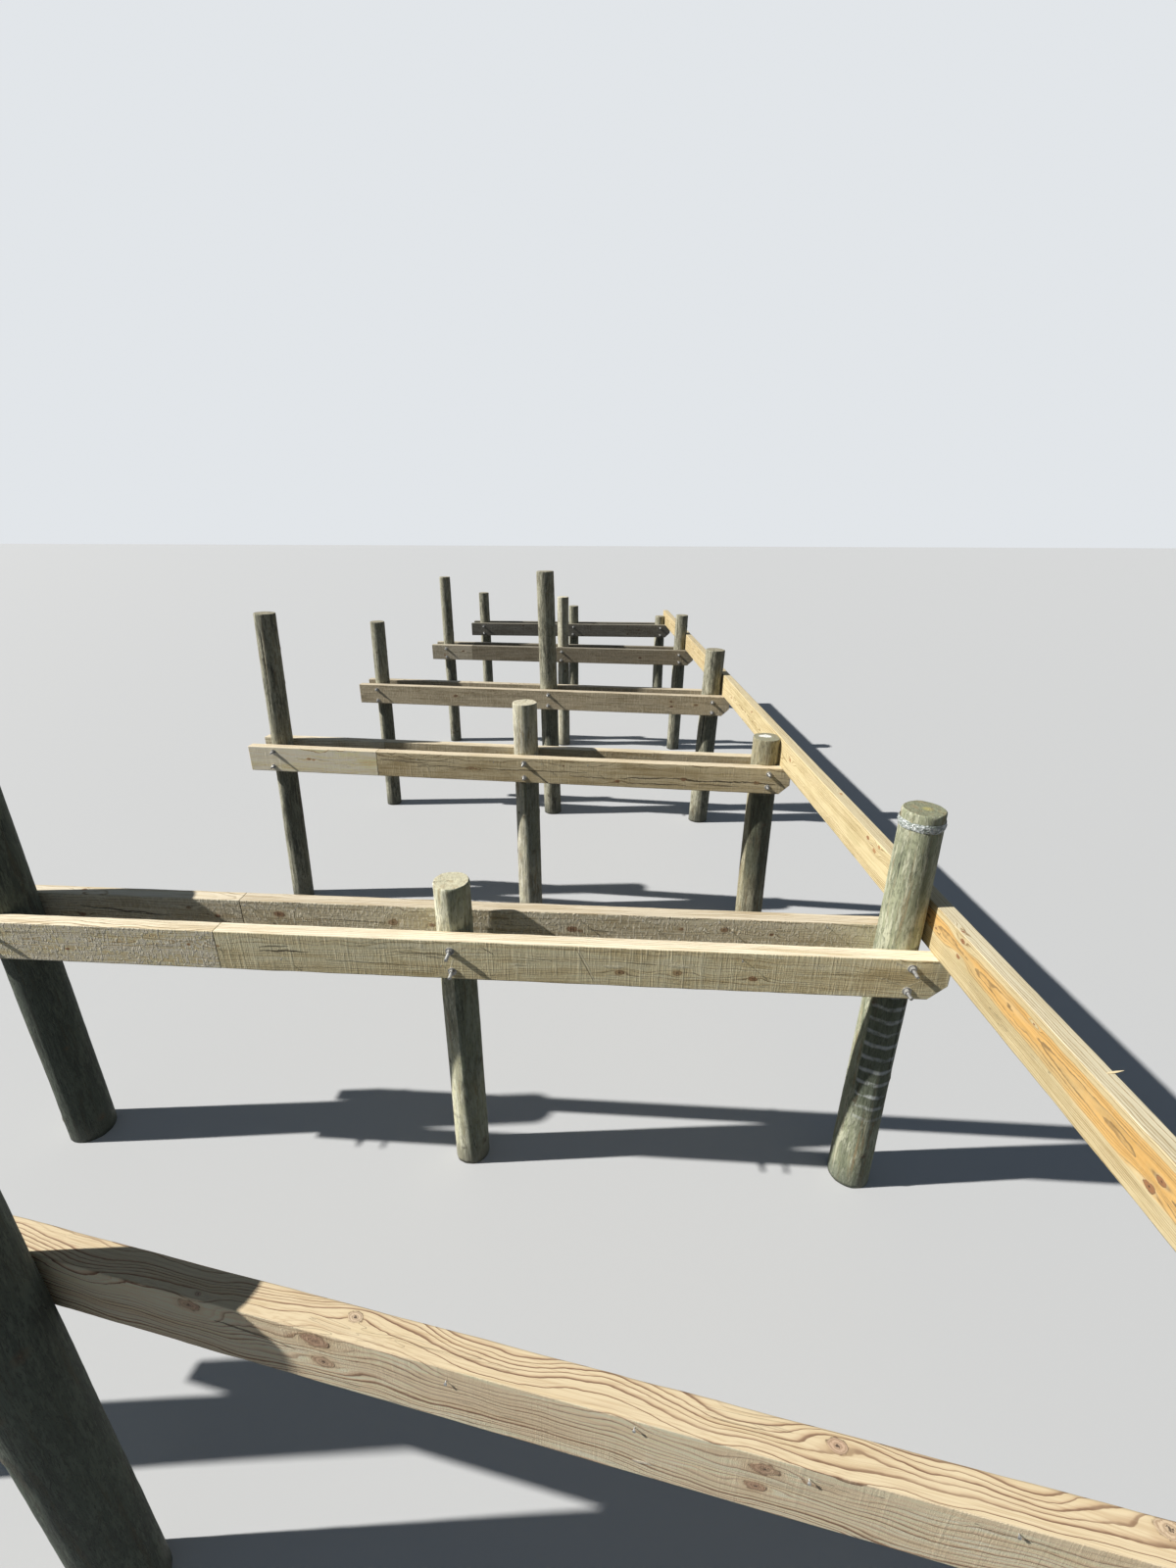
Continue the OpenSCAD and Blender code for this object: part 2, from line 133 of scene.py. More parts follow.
# Node trees
class Shade:
    """Short calls for building one material's node tree."""

    def __init__(self, name):
        self.material = bpy.data.materials.new(name)
        self.material.use_nodes = True
        self.tree = self.material.node_tree
        self.shader = self.tree.nodes["Principled BSDF"]

    def put(self, socket, value):
        if isinstance(value, bpy.types.NodeSocket):
            self.tree.links.new(value, socket)
        elif isinstance(value, (tuple, list)) and socket.type == "RGBA" and len(value) == 3:
            socket.default_value = (*value, 1.0)
        else:
            socket.default_value = value

    def node(self, kind, inputs=(), **settings):
        made = self.tree.nodes.new(kind)
        for key, value in settings.items():
            setattr(made, key, value)
        for key, value in dict(inputs).items():
            self.put(made.inputs[key], value)
        return made

    def math(self, operation, a, b=0.0, c=0.0, clamp=False):
        inputs = {0: a, 1: b, 2: c}
        return self.node("ShaderNodeMath", inputs, operation=operation, use_clamp=clamp).outputs[0]

    def times(self, a, b):
        return self.math("MULTIPLY", a, b)

    def times_plus(self, a, b, c):
        return self.math("MULTIPLY_ADD", a, b, c)

    def apart(self, a, b):
        return self.math("ABSOLUTE", self.math("SUBTRACT", a, b))

    def vector(self, operation, a, b=(0.0, 0.0, 0.0)):
        made = self.node("ShaderNodeVectorMath", {0: a, 1: b}, operation=operation)
        return made.outputs["Value" if operation in ("LENGTH", "DOT_PRODUCT") else "Vector"]

    def length(self, vector):
        return self.vector("LENGTH", vector)

    def stretch(self, vector, factors):
        return self.vector("MULTIPLY", vector, factors)

    def scaled(self, vector, factor):
        made = self.node("ShaderNodeVectorMath", {0: vector, 3: factor}, operation="SCALE")
        return made.outputs["Vector"]

    def attribute(self, name, output="Vector"):
        return self.node("ShaderNodeAttribute", attribute_name=name).outputs[output]

    def geometry(self, output):
        return self.node("ShaderNodeNewGeometry").outputs[output]

    def noise(self, vector, scale, detail=3.0, rough=0.55):
        inputs = {"Vector": vector, "Scale": scale, "Detail": detail, "Roughness": rough}
        return self.node("ShaderNodeTexNoise", inputs).outputs["Fac"]

    def field(self, vector, factors, detail=3.0, rough=0.55):
        """Noise over a vector stretched by its own factor along each axis."""
        return self.noise(self.stretch(vector, factors), 1.0, detail, rough)

    def cells(self, vector, scale):
        return self.node("ShaderNodeTexVoronoi", {"Vector": vector, "Scale": scale}).outputs["Distance"]

    def fade(self, value, low, high, out_low=0.0, out_high=1.0):
        inputs = {"Value": value, 1: low, 2: high, 3: out_low, 4: out_high}
        return self.node("ShaderNodeMapRange", inputs, interpolation_type="SMOOTHSTEP").outputs[0]

    def mix(self, factor, a, b, blend="MIX"):
        inputs = {0: factor, 6: a, 7: b}
        return self.node("ShaderNodeMix", inputs, data_type="RGBA", blend_type=blend).outputs[2]

    def axis(self, vector, name):
        return self.node("ShaderNodeSeparateXYZ", {0: vector}).outputs[name]

    def bump(self, height, distance, strength=1.0):
        inputs = {"Height": height, "Distance": distance, "Strength": strength}
        return self.node("ShaderNodeBump", inputs).outputs[0]

    def finish(self, color, roughness, normal):
        for key, value in (("Base Color", color), ("Roughness", roughness), ("Normal", normal)):
            self.put(self.shader.inputs[key], value)
        return self.material


# Colours and marks of the sawn timbers
# In most looks the side colour is lighter than the top (early): painted light for the grazing light on
# the near faces, on top of the wood's own tone
LOOK_KEYS = ("early", "side", "late", "edge", "stain", "knot", "ruddy",
             "ring", "contrast", "line", "side_rings", "dirt", "swing")
LOOKS = {
    "weathered": (
        (0.8, 0.72, 0.56), (0.92, 0.86, 0.68), (0.58, 0.47, 0.31), (0.27, 0.21, 0.13), (0.6, 0.5, 0.31),
        (0.52, 0.38, 0.24), (0.38, 0.23, 0.14), 0.0105, 0.68, 0.95, 0.95, 0.85, 0.1),
    "grey": (
        (0.56, 0.51, 0.4), (0.54, 0.48, 0.36), (0.36, 0.29, 0.19), (0.16, 0.125, 0.08),
        (0.34, 0.3, 0.22), (0.26, 0.19, 0.12), (0.17, 0.11, 0.08), 0.01, 0.55, 0.8, 0.8, 0.9, 0.1),
    "fresh": (
        (0.71, 0.585, 0.39), (0.97, 0.89, 0.67), (0.5, 0.33, 0.205), (0.23, 0.14, 0.085),
        (0.78, 0.69, 0.5), (0.64, 0.5, 0.35), (0.56, 0.4, 0.28), 0.012, 0.8, 1.0, 1.0, 0.35, 0.19),
    "rim": (
        (0.57, 0.495, 0.32), (0.635, 0.535, 0.325), (0.45, 0.31, 0.14), (0.21, 0.135, 0.06),
        (0.52, 0.44, 0.25), (0.44, 0.24, 0.1), (0.3, 0.14, 0.06), 0.0084, 0.62, 0.95, 0.85, 0.5, 0.014),
}

# Saw marks of the sides: woven ridges, and fine upright lines
SAWN = {
    "a_cross_beam": (0, 0.15), "b_near_beam": (0.08, 0.9), "b_near_bank_end": (0.9, 0.35),
    "b_far_beam": (1, 0.25), "b_far_bank_end": (0.5, 0.4), "c_near_beam": (0.1, 0.6),
    "c_near_bank_end": (0, 0.35), "c_far_beam": (0.3, 0.5),
    "rim_near_length": (0, 0.06), "rim_middle_length": (0, 0.08), "rim_far_length": (0, 0.08),
}
PLAIN_SAWN = (0.25, 0.6)

# Saw marks and drying checks: colours, and how far they cover the wood. Dark hollows beside the ridges
# are painted shade; pale ridges and fine lines are painted highlight where the raised saw marks catch
# the light; the dark checks are the wood's own
MARK_COLORS = ((0.42, 0.37, 0.27), (0.97, 0.91, 0.75), (0.96, 0.91, 0.74), (0.09, 0.07, 0.045))
MARK_AMOUNTS = (0.48, 0.66, 0.5, 0.8)

# Colours of blotches and of scratched marks, and the lightest that a board gets
BLOTCH_COLOR = (0.66, 0.58, 0.42)
STROKE_PALE = (0.86, 0.83, 0.72)
STROKE_DARK = (0.07, 0.055, 0.035)
LIGHTEST = (0.97, 0.89, 0.7)

# How much lighter or darker each board is than its look, sides and tops: partly its own tone, partly
# painted light and shade, such as sides lightened for the grazing light and the E and F bents darkened
# as painted shade
TONE_AND_LIGHT_TINTS = {
    "a_cross_beam": ((1.16, 1.08, 1.02), (0.98, 0.98, 0.96)),
    "b_near_beam": ((1.16, 1.12, 0.92), (1.2, 1.2, 1.18)),
    "b_near_bank_end": ((1.56, 1.47, 1.26), (1.14, 1.13, 1.1)),
    "b_far_beam": ((1.08, 1.07, 1.04), (0.92, 0.91, 0.9)),
    "c_near_beam": ((0.82, 0.75, 0.6), (1, 0.98, 0.94)),
    "c_near_bank_end": ((1.74, 1.62, 1.36), (1.02, 1, 0.96)),
    "rim_near_length": ((1, 1, 0.97), (1.16, 1.22, 1.36)),
    "rim_middle_length": ((1.15, 1.16, 1.12), (1.12, 1.14, 1.16)),
    "rim_far_length": ((1.06, 1.04, 0.98), (1, 1, 1)),
    "c_far_beam": ((0.76, 0.72, 0.64), (0.96, 0.95, 0.92)),
    "d_near_beam": ((1.08, 1.03, 0.93), (1.16, 1.12, 1.08)),
    "d_far_beam": ((1.06, 1.01, 0.93), (1.12, 1.08, 1.04)),
    # E and F bents: darkened as painted shade
    "e_near_beam": ((0.56, 0.54, 0.5), (0.44, 0.44, 0.44)),
    "e_far_beam": ((0.52, 0.51, 0.49), (0.44, 0.44, 0.44)),
    "f_near_beam": ((0.3, 0.32, 0.35), (0.44, 0.45, 0.46)),
    "f_far_beam": ((0.36, 0.38, 0.4), (0.44, 0.45, 0.46)),
}
PLAIN_TINT = ((1, 1, 1), (1, 1, 1))


def knot_field(s, place, grain, knots):
    """Distance in knot radii to the nearest knot, the push on the rings, and the grain led round it."""
    nearest = None
    push = None
    for u, v, w, size in knots:
        offset = s.vector("SUBTRACT", place, (u, v, w))
        reach = s.length(s.stretch(offset, (0.62 / size, 1 / size, 1 / size)))
        spread = s.length(s.stretch(offset, (0.26 / size, 1 / size, 1 / size)))
        lift = s.fade(spread, 0, 3.6, 1, 0)
        nearest = reach if nearest is None else s.math("MINIMUM", nearest, reach)
        push = lift if push is None else s.math("MAXIMUM", push, lift)
        aside = s.stretch(offset, (0, -0.85 * RING_STRETCH, -0.85))
        grain = s.vector("ADD", grain, s.scaled(aside, lift))
    return nearest, push, grain


def growth_rings(s, grain, push, width, swing):
    """Soft and sharp parts of the latewood, and the distance from the pith."""
    sway = s.field(grain, (1.6, 1.6, 1.6), 2)
    ripple = s.field(grain, (7, 17, 17), 3, 0.6)
    radius = s.length(s.stretch(grain, (0, 1, 1)))
    radius = s.times_plus(sway, swing, radius)
    radius = s.times_plus(ripple, 0.015, radius)
    if push is not None:
        radius = s.times_plus(push, 0.016, radius)
    slow = {"W": radius, "Scale": 34, "Detail": 1}
    slow = s.node("ShaderNodeTexNoise", slow, noise_dimensions="1D")
    turns = s.times_plus(slow.outputs["Fac"], 1.7, s.math("DIVIDE", radius, width))
    phase = s.math("FRACT", turns)
    chance = s.node("ShaderNodeTexWhiteNoise", {"W": s.math("FLOOR", turns)}, noise_dimensions="1D")
    strength = s.fade(chance.outputs["Value"], 0, 0.65, 0.14, 1)
    faint = s.field(grain, (3.5, 16, 16), 2)
    strength = s.times(strength, s.fade(faint, 0.3, 0.55, 0.6, 1))
    ending = s.times(s.fade(phase, 0.94, 1, 1, 0), strength)
    soft = s.times(s.fade(phase, 0.35, 0.88), ending)
    sharp = s.times(s.fade(phase, 0.7, 0.88), ending)
    return soft, sharp, radius


def stroke_mask(s, place, stroke):
    """Mask of a thin wavering mark on the near face, tapered between two points of a board."""
    u0, w0, u1, w1, width = stroke[:5]
    waver = s.field(place, (11, 0, 11), 3, 0.6)
    waver = s.times(s.math("SUBTRACT", waver, 0.5), 5 * width)
    flat = s.stretch(place, (1, 0, 1))
    flat = s.vector("ADD", flat, s.scaled((0, 0, 1), waver))
    start = s.vector("SUBTRACT", flat, (u0, 0, w0))
    run = (u1 - u0, 0, w1 - w0)
    square = run[0] ** 2 + run[2] ** 2
    share = s.math("DIVIDE", s.vector("DOT_PRODUCT", start, run), square, clamp=True)
    nearest = s.scaled(run, share)
    away = s.length(s.vector("SUBTRACT", start, nearest))
    rest = s.math("SUBTRACT", 1, share)
    taper = s.times_plus(s.times(share, rest), 3, 0.3)
    mask = s.fade(s.math("DIVIDE", away, taper), width * 0.5, width, 1, 0)
    return s.times(mask, s.fade(s.axis(place, 1), 0.001, 0.003, 1, 0))


def saw_marks(s, grain, sideways, sawn):
    """Masks of the woven ridges, the hollows beside them, and fine upright lines left by the saw on the
    sides, which carry painted highlight and painted shade.
    """
    weave, comb = sawn
    woven = s.times(sideways, weave)
    kerf = s.field(grain, (66, 8, 29), 1, 0.5)
    ridge_and_highlight = s.times(s.fade(kerf, 0.54, 0.62), woven)
    hollow_shade = s.times(s.fade(kerf, 0.34, 0.44, 1, 0), woven)
    tooth = s.field(grain, (170, 4, 6), 2, 0.7)
    broad = s.field(grain, (62, 2, 2.5), 2, 0.6)
    lines_and_highlight = s.math("ADD", s.fade(tooth, 0.45, 0.68, 0, 0.6), s.fade(broad, 0.5, 0.66, 0, 0.7))
    zone = s.field(grain, (2.2, 9, 9), 2)
    lines_and_highlight = s.times(lines_and_highlight, s.fade(zone, 0.34, 0.6, 0.25, 1))
    lines_and_highlight = s.times(lines_and_highlight, s.times(sideways, comb))
    return ridge_and_highlight, hollow_shade, lines_and_highlight


def joint_mask(s, place, joint, along):
    """Narrow dark band on the faces beside a butt joint, but not on the sawn end."""
    away = s.apart(s.axis(place, 0), joint)
    normal = s.geometry("True Normal")
    turned = s.math("ABSOLUTE", s.vector("DOT_PRODUCT", normal, tuple(along)))
    mask = s.fade(away, 0.0012, 0.004, 0.75, 0)
    return s.times(mask, s.fade(turned, 0.5, 0.8, 1, 0))


def paint_knots(s, tone, place, color, height, nearest):
    """Knots: tan and ruddy wood with rings, a broken dark outline and a dark crack at the heart."""
    lumps = s.math("SUBTRACT", s.noise(place, 46, 3, 0.6), 0.5)
    fine = s.noise(place, 190, 2, 0.6)
    uneven = s.times(nearest, s.times_plus(lumps, 0.8, 1))
    ring = s.math("SINE", s.times_plus(uneven, 17, s.times(fine, 3)))
    halo = s.fade(uneven, 0.95, 1.9, 1, 0)
    core = s.fade(uneven, 0.9, 1, 1, 0)
    outline = s.fade(s.apart(uneven, 0.97), 0.03, 0.15, 1, 0)
    outline = s.times(outline, s.fade(lumps, -0.12, 0.08, 1, 0.25))
    ruddy = s.fade(s.noise(place, 5, 0), 0.42, 0.58)
    wood = s.mix(ruddy, tone["knot"], tone["ruddy"])
    wood = s.mix(s.fade(ring, -0.2, 0.9, 0, 0.5), wood, (0.24, 0.145, 0.085))
    wood = s.mix(s.fade(fine, 0.52, 0.75, 0, 0.4), wood, (0.2, 0.12, 0.075))
    color = s.mix(s.times(halo, 0.35), color, (0.58, 0.44, 0.26))
    color = s.mix(core, color, wood)
    color = s.mix(s.times(outline, 0.8), color, (0.13, 0.08, 0.045))
    heart = s.math("ADD", uneven, s.times(s.math("SUBTRACT", fine, 0.5), 0.9))
    color = s.mix(s.fade(heart, 0.1, 0.3, 0.9, 0), color, (0.05, 0.03, 0.02))
    return color, s.times_plus(core, 0.4, height)


def ground_color(s, name, tone, patch, streak, radius, upward, on_sides):
    """Wood between the rings: tops and sides, the sides partly lightened as painted light, the heart of
    one board, and stained patches.
    """
    # side colour holds painted light for the grazing key light
    ground = s.mix(upward, tone["side"], tone["early"])
    if name == HEART_BOARD:
        inside = s.times_plus(streak, 0.026, radius)
        heart = s.fade(inside, HEART_RADIUS, HEART_RADIUS + HEART_BLUR, 1, 0)
        ground = s.mix(heart, ground, HEART_COLOR)
    stained = s.times(s.fade(patch, 0.46, 0.66), on_sides)
    ground = s.mix(s.times(stained, 0.55), ground, tone["stain"])
    return s.mix(s.fade(patch, 0.3, 0.44, 0.35, 0), ground, tone["early"])


def surface_checks(s, grain, sideways):
    """Mask of the short drying checks along the grain."""
    split = s.field(grain, (2.2, 60, 90), 1)
    where = s.field(grain, (2.1, 12, 17), 1)
    check = s.fade(s.apart(split, 0.5), 0.001, 0.006, 1, 0)
    check = s.times(check, s.fade(where, 0.6, 0.66))
    return s.times(check, s.times_plus(sideways, 0.75, 0.25))


def draw_strokes(s, place, strokes, color, height):
    """Pale and dark scratched marks, in colour and relief."""
    for stroke in strokes:
        mask = stroke_mask(s, place, stroke)
        pale = stroke[5] > 0
        color = s.mix(s.times(mask, abs(stroke[5])), color, STROKE_PALE if pale else STROKE_DARK)
        height = s.times_plus(mask, 1 if pale else -2, height)
    return color, height


def timber_material(name, look, knots, strokes, joints, along):
    """Sawn softwood: growth rings in the solid, saw marks across, knots, stains and checks."""
    s = Shade(name)
    tone = dict(zip(LOOK_KEYS, LOOKS[look]))
    place = s.attribute("board")
    nearest, push, grain = knot_field(s, place, s.attribute("grain"), knots)
    soft, sharp, radius = growth_rings(s, grain, push, tone["ring"], tone["swing"])
    fibre = s.field(grain, (6, 300, 380), 2, 0.6)
    streak = s.field(grain, (1.6, 40, 60))
    patch = s.field(grain, (1.8, 5, 7), 4, 0.6)
    blotch = s.field(grain, (3.6, 11, 19), 4, 0.65)
    fuzz = s.field(grain, (420, 330, 520), 1, 0.6)
    upward = s.fade(s.axis(s.geometry("Normal"), 2), 0.3, 0.8)
    sideways = s.math("SUBTRACT", 1, upward)
    on_sides = s.times_plus(upward, -0.7, 1)
    ridge_and_highlight, hollow_shade, lines_and_highlight = saw_marks(s, grain, sideways, SAWN.get(name, PLAIN_SAWN))
    check = surface_checks(s, grain, sideways)

    ground = ground_color(s, name, tone, patch, streak, radius, upward, on_sides)
    shown = s.times_plus(upward, 1 - tone["side_rings"], tone["side_rings"])
    color = s.mix(s.times(s.times(soft, shown), tone["contrast"]), ground, tone["late"])
    color = s.mix(s.times(s.times(sharp, shown), tone["line"]), color, tone["edge"])
    color = s.mix(s.fade(fibre, 0.42, 0.72, 0, 0.3), color, tone["late"], "MULTIPLY")
    color = s.mix(s.fade(streak, 0.5, 0.66, 0, 0.55 * tone["dirt"]), color, tone["stain"], "MULTIPLY")
    blotch = s.times(s.fade(blotch, 0.48, 0.64, 0, 0.45 * tone["dirt"]), on_sides)
    color = s.mix(blotch, color, BLOTCH_COLOR, "MULTIPLY")
    # painted shade in the saw hollows, painted highlight on the ridges and fine lines, dark checks
    for mask, amount, paint in zip((hollow_shade, ridge_and_highlight, lines_and_highlight, check), MARK_AMOUNTS, MARK_COLORS):
        color = s.mix(s.times(mask, amount), color, paint)
    height = s.times_plus(sharp, 0.25, s.times(fibre, 0.25))
    for mask, rise in ((s.times(fuzz, sideways), 0.8), (ridge_and_highlight, 2.8), (lines_and_highlight, 1.4), (check, -1.6)):
        height = s.times_plus(mask, rise, height)
    color, height = draw_strokes(s, place, strokes, color, height)
    if knots:
        color, height = paint_knots(s, tone, place, color, height, nearest)
    for joint in joints:
        color = s.mix(joint_mask(s, place, joint, along), color, (0.05, 0.04, 0.03))
    side_tint, top_tint = TONE_AND_LIGHT_TINTS.get(name, PLAIN_TINT)
    # board tint, with painted light and shade in it
    color = s.mix(1, color, s.mix(upward, side_tint, top_tint), "MULTIPLY")
    color = s.mix(1, color, LIGHTEST, "DARKEN")
    return s.finish(color, 0.82, s.bump(height, WOOD_RELIEF))


# Colours of the round piles, and how strongly painted shade darkens the side turned from the key light:
# all along the pile, below the beams where it stands for their cast shadow, and the facing below which
# it starts
PILE_KEYS = ("light", "pale", "dark", "brown", "cap", "heart", "foot", "shade_all_along", "shade_under_beams", "turned")
PILE_LOOKS = {
    "pale": ((0.38, 0.4, 0.265), (0.57, 0.58, 0.43), (0.18, 0.2, 0.13), (0.36, 0.26, 0.14),
             (0.25, 0.275, 0.18), (0.46, 0.44, 0.17), (0.15, 0.17, 0.13), 0, 0.88, 0.8),
    "blond": ((0.8, 0.79, 0.55), (0.95, 0.94, 0.74), (0.36, 0.35, 0.25), (0.48, 0.38, 0.22),
              (0.76, 0.73, 0.53), (0.66, 0.58, 0.38), (0.2, 0.19, 0.14), 0.7, 0.88, 0.08),
    "tan": ((0.66, 0.63, 0.46), (0.76, 0.74, 0.61), (0.27, 0.255, 0.19), (0.4, 0.31, 0.18),
            (0.74, 0.7, 0.53), (0.6, 0.52, 0.34), (0.18, 0.17, 0.12), 0.4, 0.8, 0.2),
    "olive": ((0.37, 0.335, 0.21), (0.5, 0.47, 0.33), (0.12, 0.11, 0.07), (0.24, 0.165, 0.085),
              (0.33, 0.33, 0.23), (0.44, 0.42, 0.29), (0.15, 0.15, 0.11), 0.1, 0.9, 0.78),
    "grey": ((0.35, 0.34, 0.25), (0.53, 0.515, 0.39), (0.095, 0.095, 0.07), (0.23, 0.185, 0.105),
             (0.35, 0.325, 0.235), (0.52, 0.47, 0.35), (0.06, 0.065, 0.05), 0.25, 0.7, 0.4),
    # dark: piles that take painted shade almost all along their side turned from the key light
    "dark": ((0.3, 0.32, 0.25), (0.5, 0.51, 0.4), (0.1, 0.11, 0.085), (0.21, 0.17, 0.1),
             (0.24, 0.22, 0.16), (0.32, 0.29, 0.19), (0.08, 0.09, 0.07), 0.93, 0.95, 0.66),
}

# Painted shade: tint of the side turned from the key light, and the heights between which its stronger
# part below the beams comes and goes
PAINTED_SHADE_TINT = (0.2, 0.24, 0.235)
PAINTED_SHADE_HEIGHTS = (0.3, 0.75, 1.4, 1.45)

# Pale patch on one sawn top: its place across the pile, and the radii between which it fades
CAP_PATCH_PILE = "c_outer_pile"
CAP_PATCH = (0.001, 0.019, 0.034, 0.042)


def pile_bark(s, tone, grain, patch, streak):
    """Colour and relief of the peeled, mottled side of a pile."""
    fibre = s.field(grain, (5, 300, 300), 3, 0.65)
    peeled = s.fade(s.field(grain, (6, 44, 44), 6, 0.7), 0.46, 0.56)
    flecks = s.fade(s.field(grain, (26, 120, 120), 4, 0.7), 0.53, 0.61)
    split = s.fade(s.apart(s.field(grain, (2.4, 46, 46), 1), 0.5), 0.002, 0.009, 1, 0)
    split = s.times(split, s.fade(patch, 0.5, 0.58))
    color = s.mix(s.fade(patch, 0.42, 0.64, 0, 0.8), tone["light"], tone["dark"])
    color = s.mix(s.fade(streak, 0.52, 0.66, 0, 0.75), color, tone["brown"])
    color = s.mix(s.times(peeled, 0.8), color, tone["pale"])
    color = s.mix(s.times(flecks, 0.62), color, tone["dark"])
    color = s.mix(s.fade(fibre, 0.48, 0.78, 0, 0.6), color, tone["dark"])
    color = s.mix(s.times(split, 0.8), color, (0.03, 0.028, 0.02))
    relief = s.times_plus(flecks, -0.9, s.times(fibre, 0.9))
    relief = s.times_plus(peeled, 1, relief)
    return color, s.times_plus(split, -1.6, relief)


def painted_shade_side(s, tone, streak, height):
    """Mask of painted shade on the side turned away from the key light, which on some piles also stands
    for darker weathered wood there; stronger below the cross-beams, where it stands for their cast
    shadow.
    """
    facing = s.vector("DOT_PRODUCT", s.geometry("Normal"), (-1, -0.05, 0))
    facing = s.times_plus(s.math("SUBTRACT", streak, 0.5), 0.25, facing)
    shade_under_beams = s.times(s.fade(height, *PAINTED_SHADE_HEIGHTS[2:], 1, 0), s.fade(height, *PAINTED_SHADE_HEIGHTS[:2]))
    amount = s.math("MAXIMUM", s.times(shade_under_beams, tone["shade_under_beams"]), tone["shade_all_along"])
    return s.times(amount, s.fade(facing, tone["turned"], tone["turned"] + 0.1, 1, 0))


def pale_level_lines(s, grain, patch, height, pale_lines):
    """Mask of the broken, level pale lines round a pile."""
    low, high, spacing = pale_lines
    phase = s.math("FRACT", s.math("DIVIDE", s.times_plus(patch, 0.04, height), spacing))
    line = s.fade(s.apart(phase, 0.5), 0.04, 0.22, 1, 0)
    line = s.times(line, s.fade(s.field(grain, (13, 9, 9), 4, 0.65), 0.34, 0.54))
    line = s.times(line, s.fade(height, low, low + 0.1))
    return s.times(line, s.fade(height, high - 0.05, high, 1, 0))


def pile_top(s, name, tone, grain):
    """Colour of the sawn top, with rings, saw lines and stains, and one pale patch."""
    flattened = s.stretch(grain, (0.05, 1, 1))
    soft, sharp, radius = growth_rings(s, flattened, None, PILE_RING_WIDTH, PILE_SWING)
    sawn = s.mix(s.fade(radius, 0.05, 0.078), tone["heart"], tone["cap"])
    sawn = s.mix(s.times(s.math("MAXIMUM", soft, sharp), 0.6), sawn, tone["brown"])
    kerf = s.field(grain, (1, 14, 330), 2)
    sawn = s.mix(s.fade(kerf, 0.45, 0.75, 0, 0.25), sawn, tone["dark"])
    stain = s.field(grain, (1, 30, 30))
    sawn = s.mix(s.fade(stain, 0.5, 0.68, 0, 0.5), sawn, tone["brown"])
    if name == CAP_PATCH_PILE:
        spot = s.vector("SUBTRACT", s.stretch(grain, (0, 1, 1)), (0, *CAP_PATCH[:2]))
        spot = s.length(s.stretch(spot, (0, 0.7, 1)))
        spot = s.times_plus(s.math("SUBTRACT", stain, 0.5), 0.05, spot)
        sawn = s.mix(s.fade(spot, *CAP_PATCH[2:], 1, 0), sawn, (0.93, 0.93, 0.88))
    return sawn


def pile_material(name, look, pale_lines=None):
    """Round treated pile: peeled fibres, mottled green and brown patches, knots, a sawn top, and
    painted shade on the side turned from the key light.
    """
    s = Shade(name)
    tone = dict(zip(PILE_KEYS, PILE_LOOKS[look]))
    grain = s.attribute("grain")
    height, knot, cap, groove = (s.attribute(key, "Fac") for key in ("height", "knot", "cap", "groove"))
    streak = s.field(grain, (2.2, 42, 42))
    patch = s.field(grain, (2.4, 9, 9), 4, 0.6)
    color, relief = pile_bark(s, tone, grain, patch, streak)
    amount = painted_shade_side(s, tone, streak, height)
    # painted shade on the side turned from the key light
    color = s.mix(amount, color, PAINTED_SHADE_TINT, "MULTIPLY")
    if pale_lines:
        # pale level lines, drawn only where the painted shade lies
        line = s.times(pale_level_lines(s, grain, patch, height, pale_lines), amount)
        color = s.mix(s.times(line, 0.8), color, (0.8, 0.84, 0.82))
    wet = s.fade(s.times_plus(patch, 0.26, height), 0.15, 0.34, 1, 0)
    color = s.mix(s.times(wet, 0.7), color, tone["foot"])
    ring = s.math("SINE", s.times(knot, 900))
    knotty = s.mix(s.fade(ring, -0.5, 0.7), (0.07, 0.055, 0.035), (0.17, 0.125, 0.075))
    color = s.mix(s.fade(knot, 0.016, 0.034, 0.55, 0), color, (0.12, 0.1, 0.065))
    color = s.mix(s.fade(knot, 0.011, 0.015, 1, 0), color, knotty)
    color = s.mix(s.fade(cap, 0.35, 0.65), color, pile_top(s, name, tone, grain))
    color = s.mix(s.fade(groove, 0.15, 0.8), color, (0.025, 0.022, 0.018))
    return s.finish(color, s.times_plus(wet, -0.25, 0.86), s.bump(relief, WOOD_RELIEF, 0.9))


def steel_material():
    """Hot-dip galvanised steel: dull zinc with fine spangle and darker patches."""
    s = Shade("galvanised_steel")
    place = s.geometry("Position")
    spangle = s.cells(place, 260.0)
    dull = s.noise(place, 45.0, 3.0)
    color = s.mix(s.fade(spangle, 0.1, 0.7), (0.28, 0.28, 0.27), (0.46, 0.46, 0.44))
    color = s.mix(s.fade(dull, 0.42, 0.62, 0.0, 0.7), color, (0.12, 0.115, 0.11))
    s.shader.inputs["Metallic"].default_value = 0.3
    rough = s.fade(dull, 0.3, 0.7, 0.28, 0.5)
    return s.finish(color, rough, s.bump(dull, 0.0004, 0.4))


# Reading the frame
def corner_points(node):
    """Corners of a CAD solid."""
    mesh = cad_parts[node].data
    points = np.empty(len(mesh.vertices) * 3)
    mesh.vertices.foreach_get("co", points)
    return points.reshape(-1, 3)


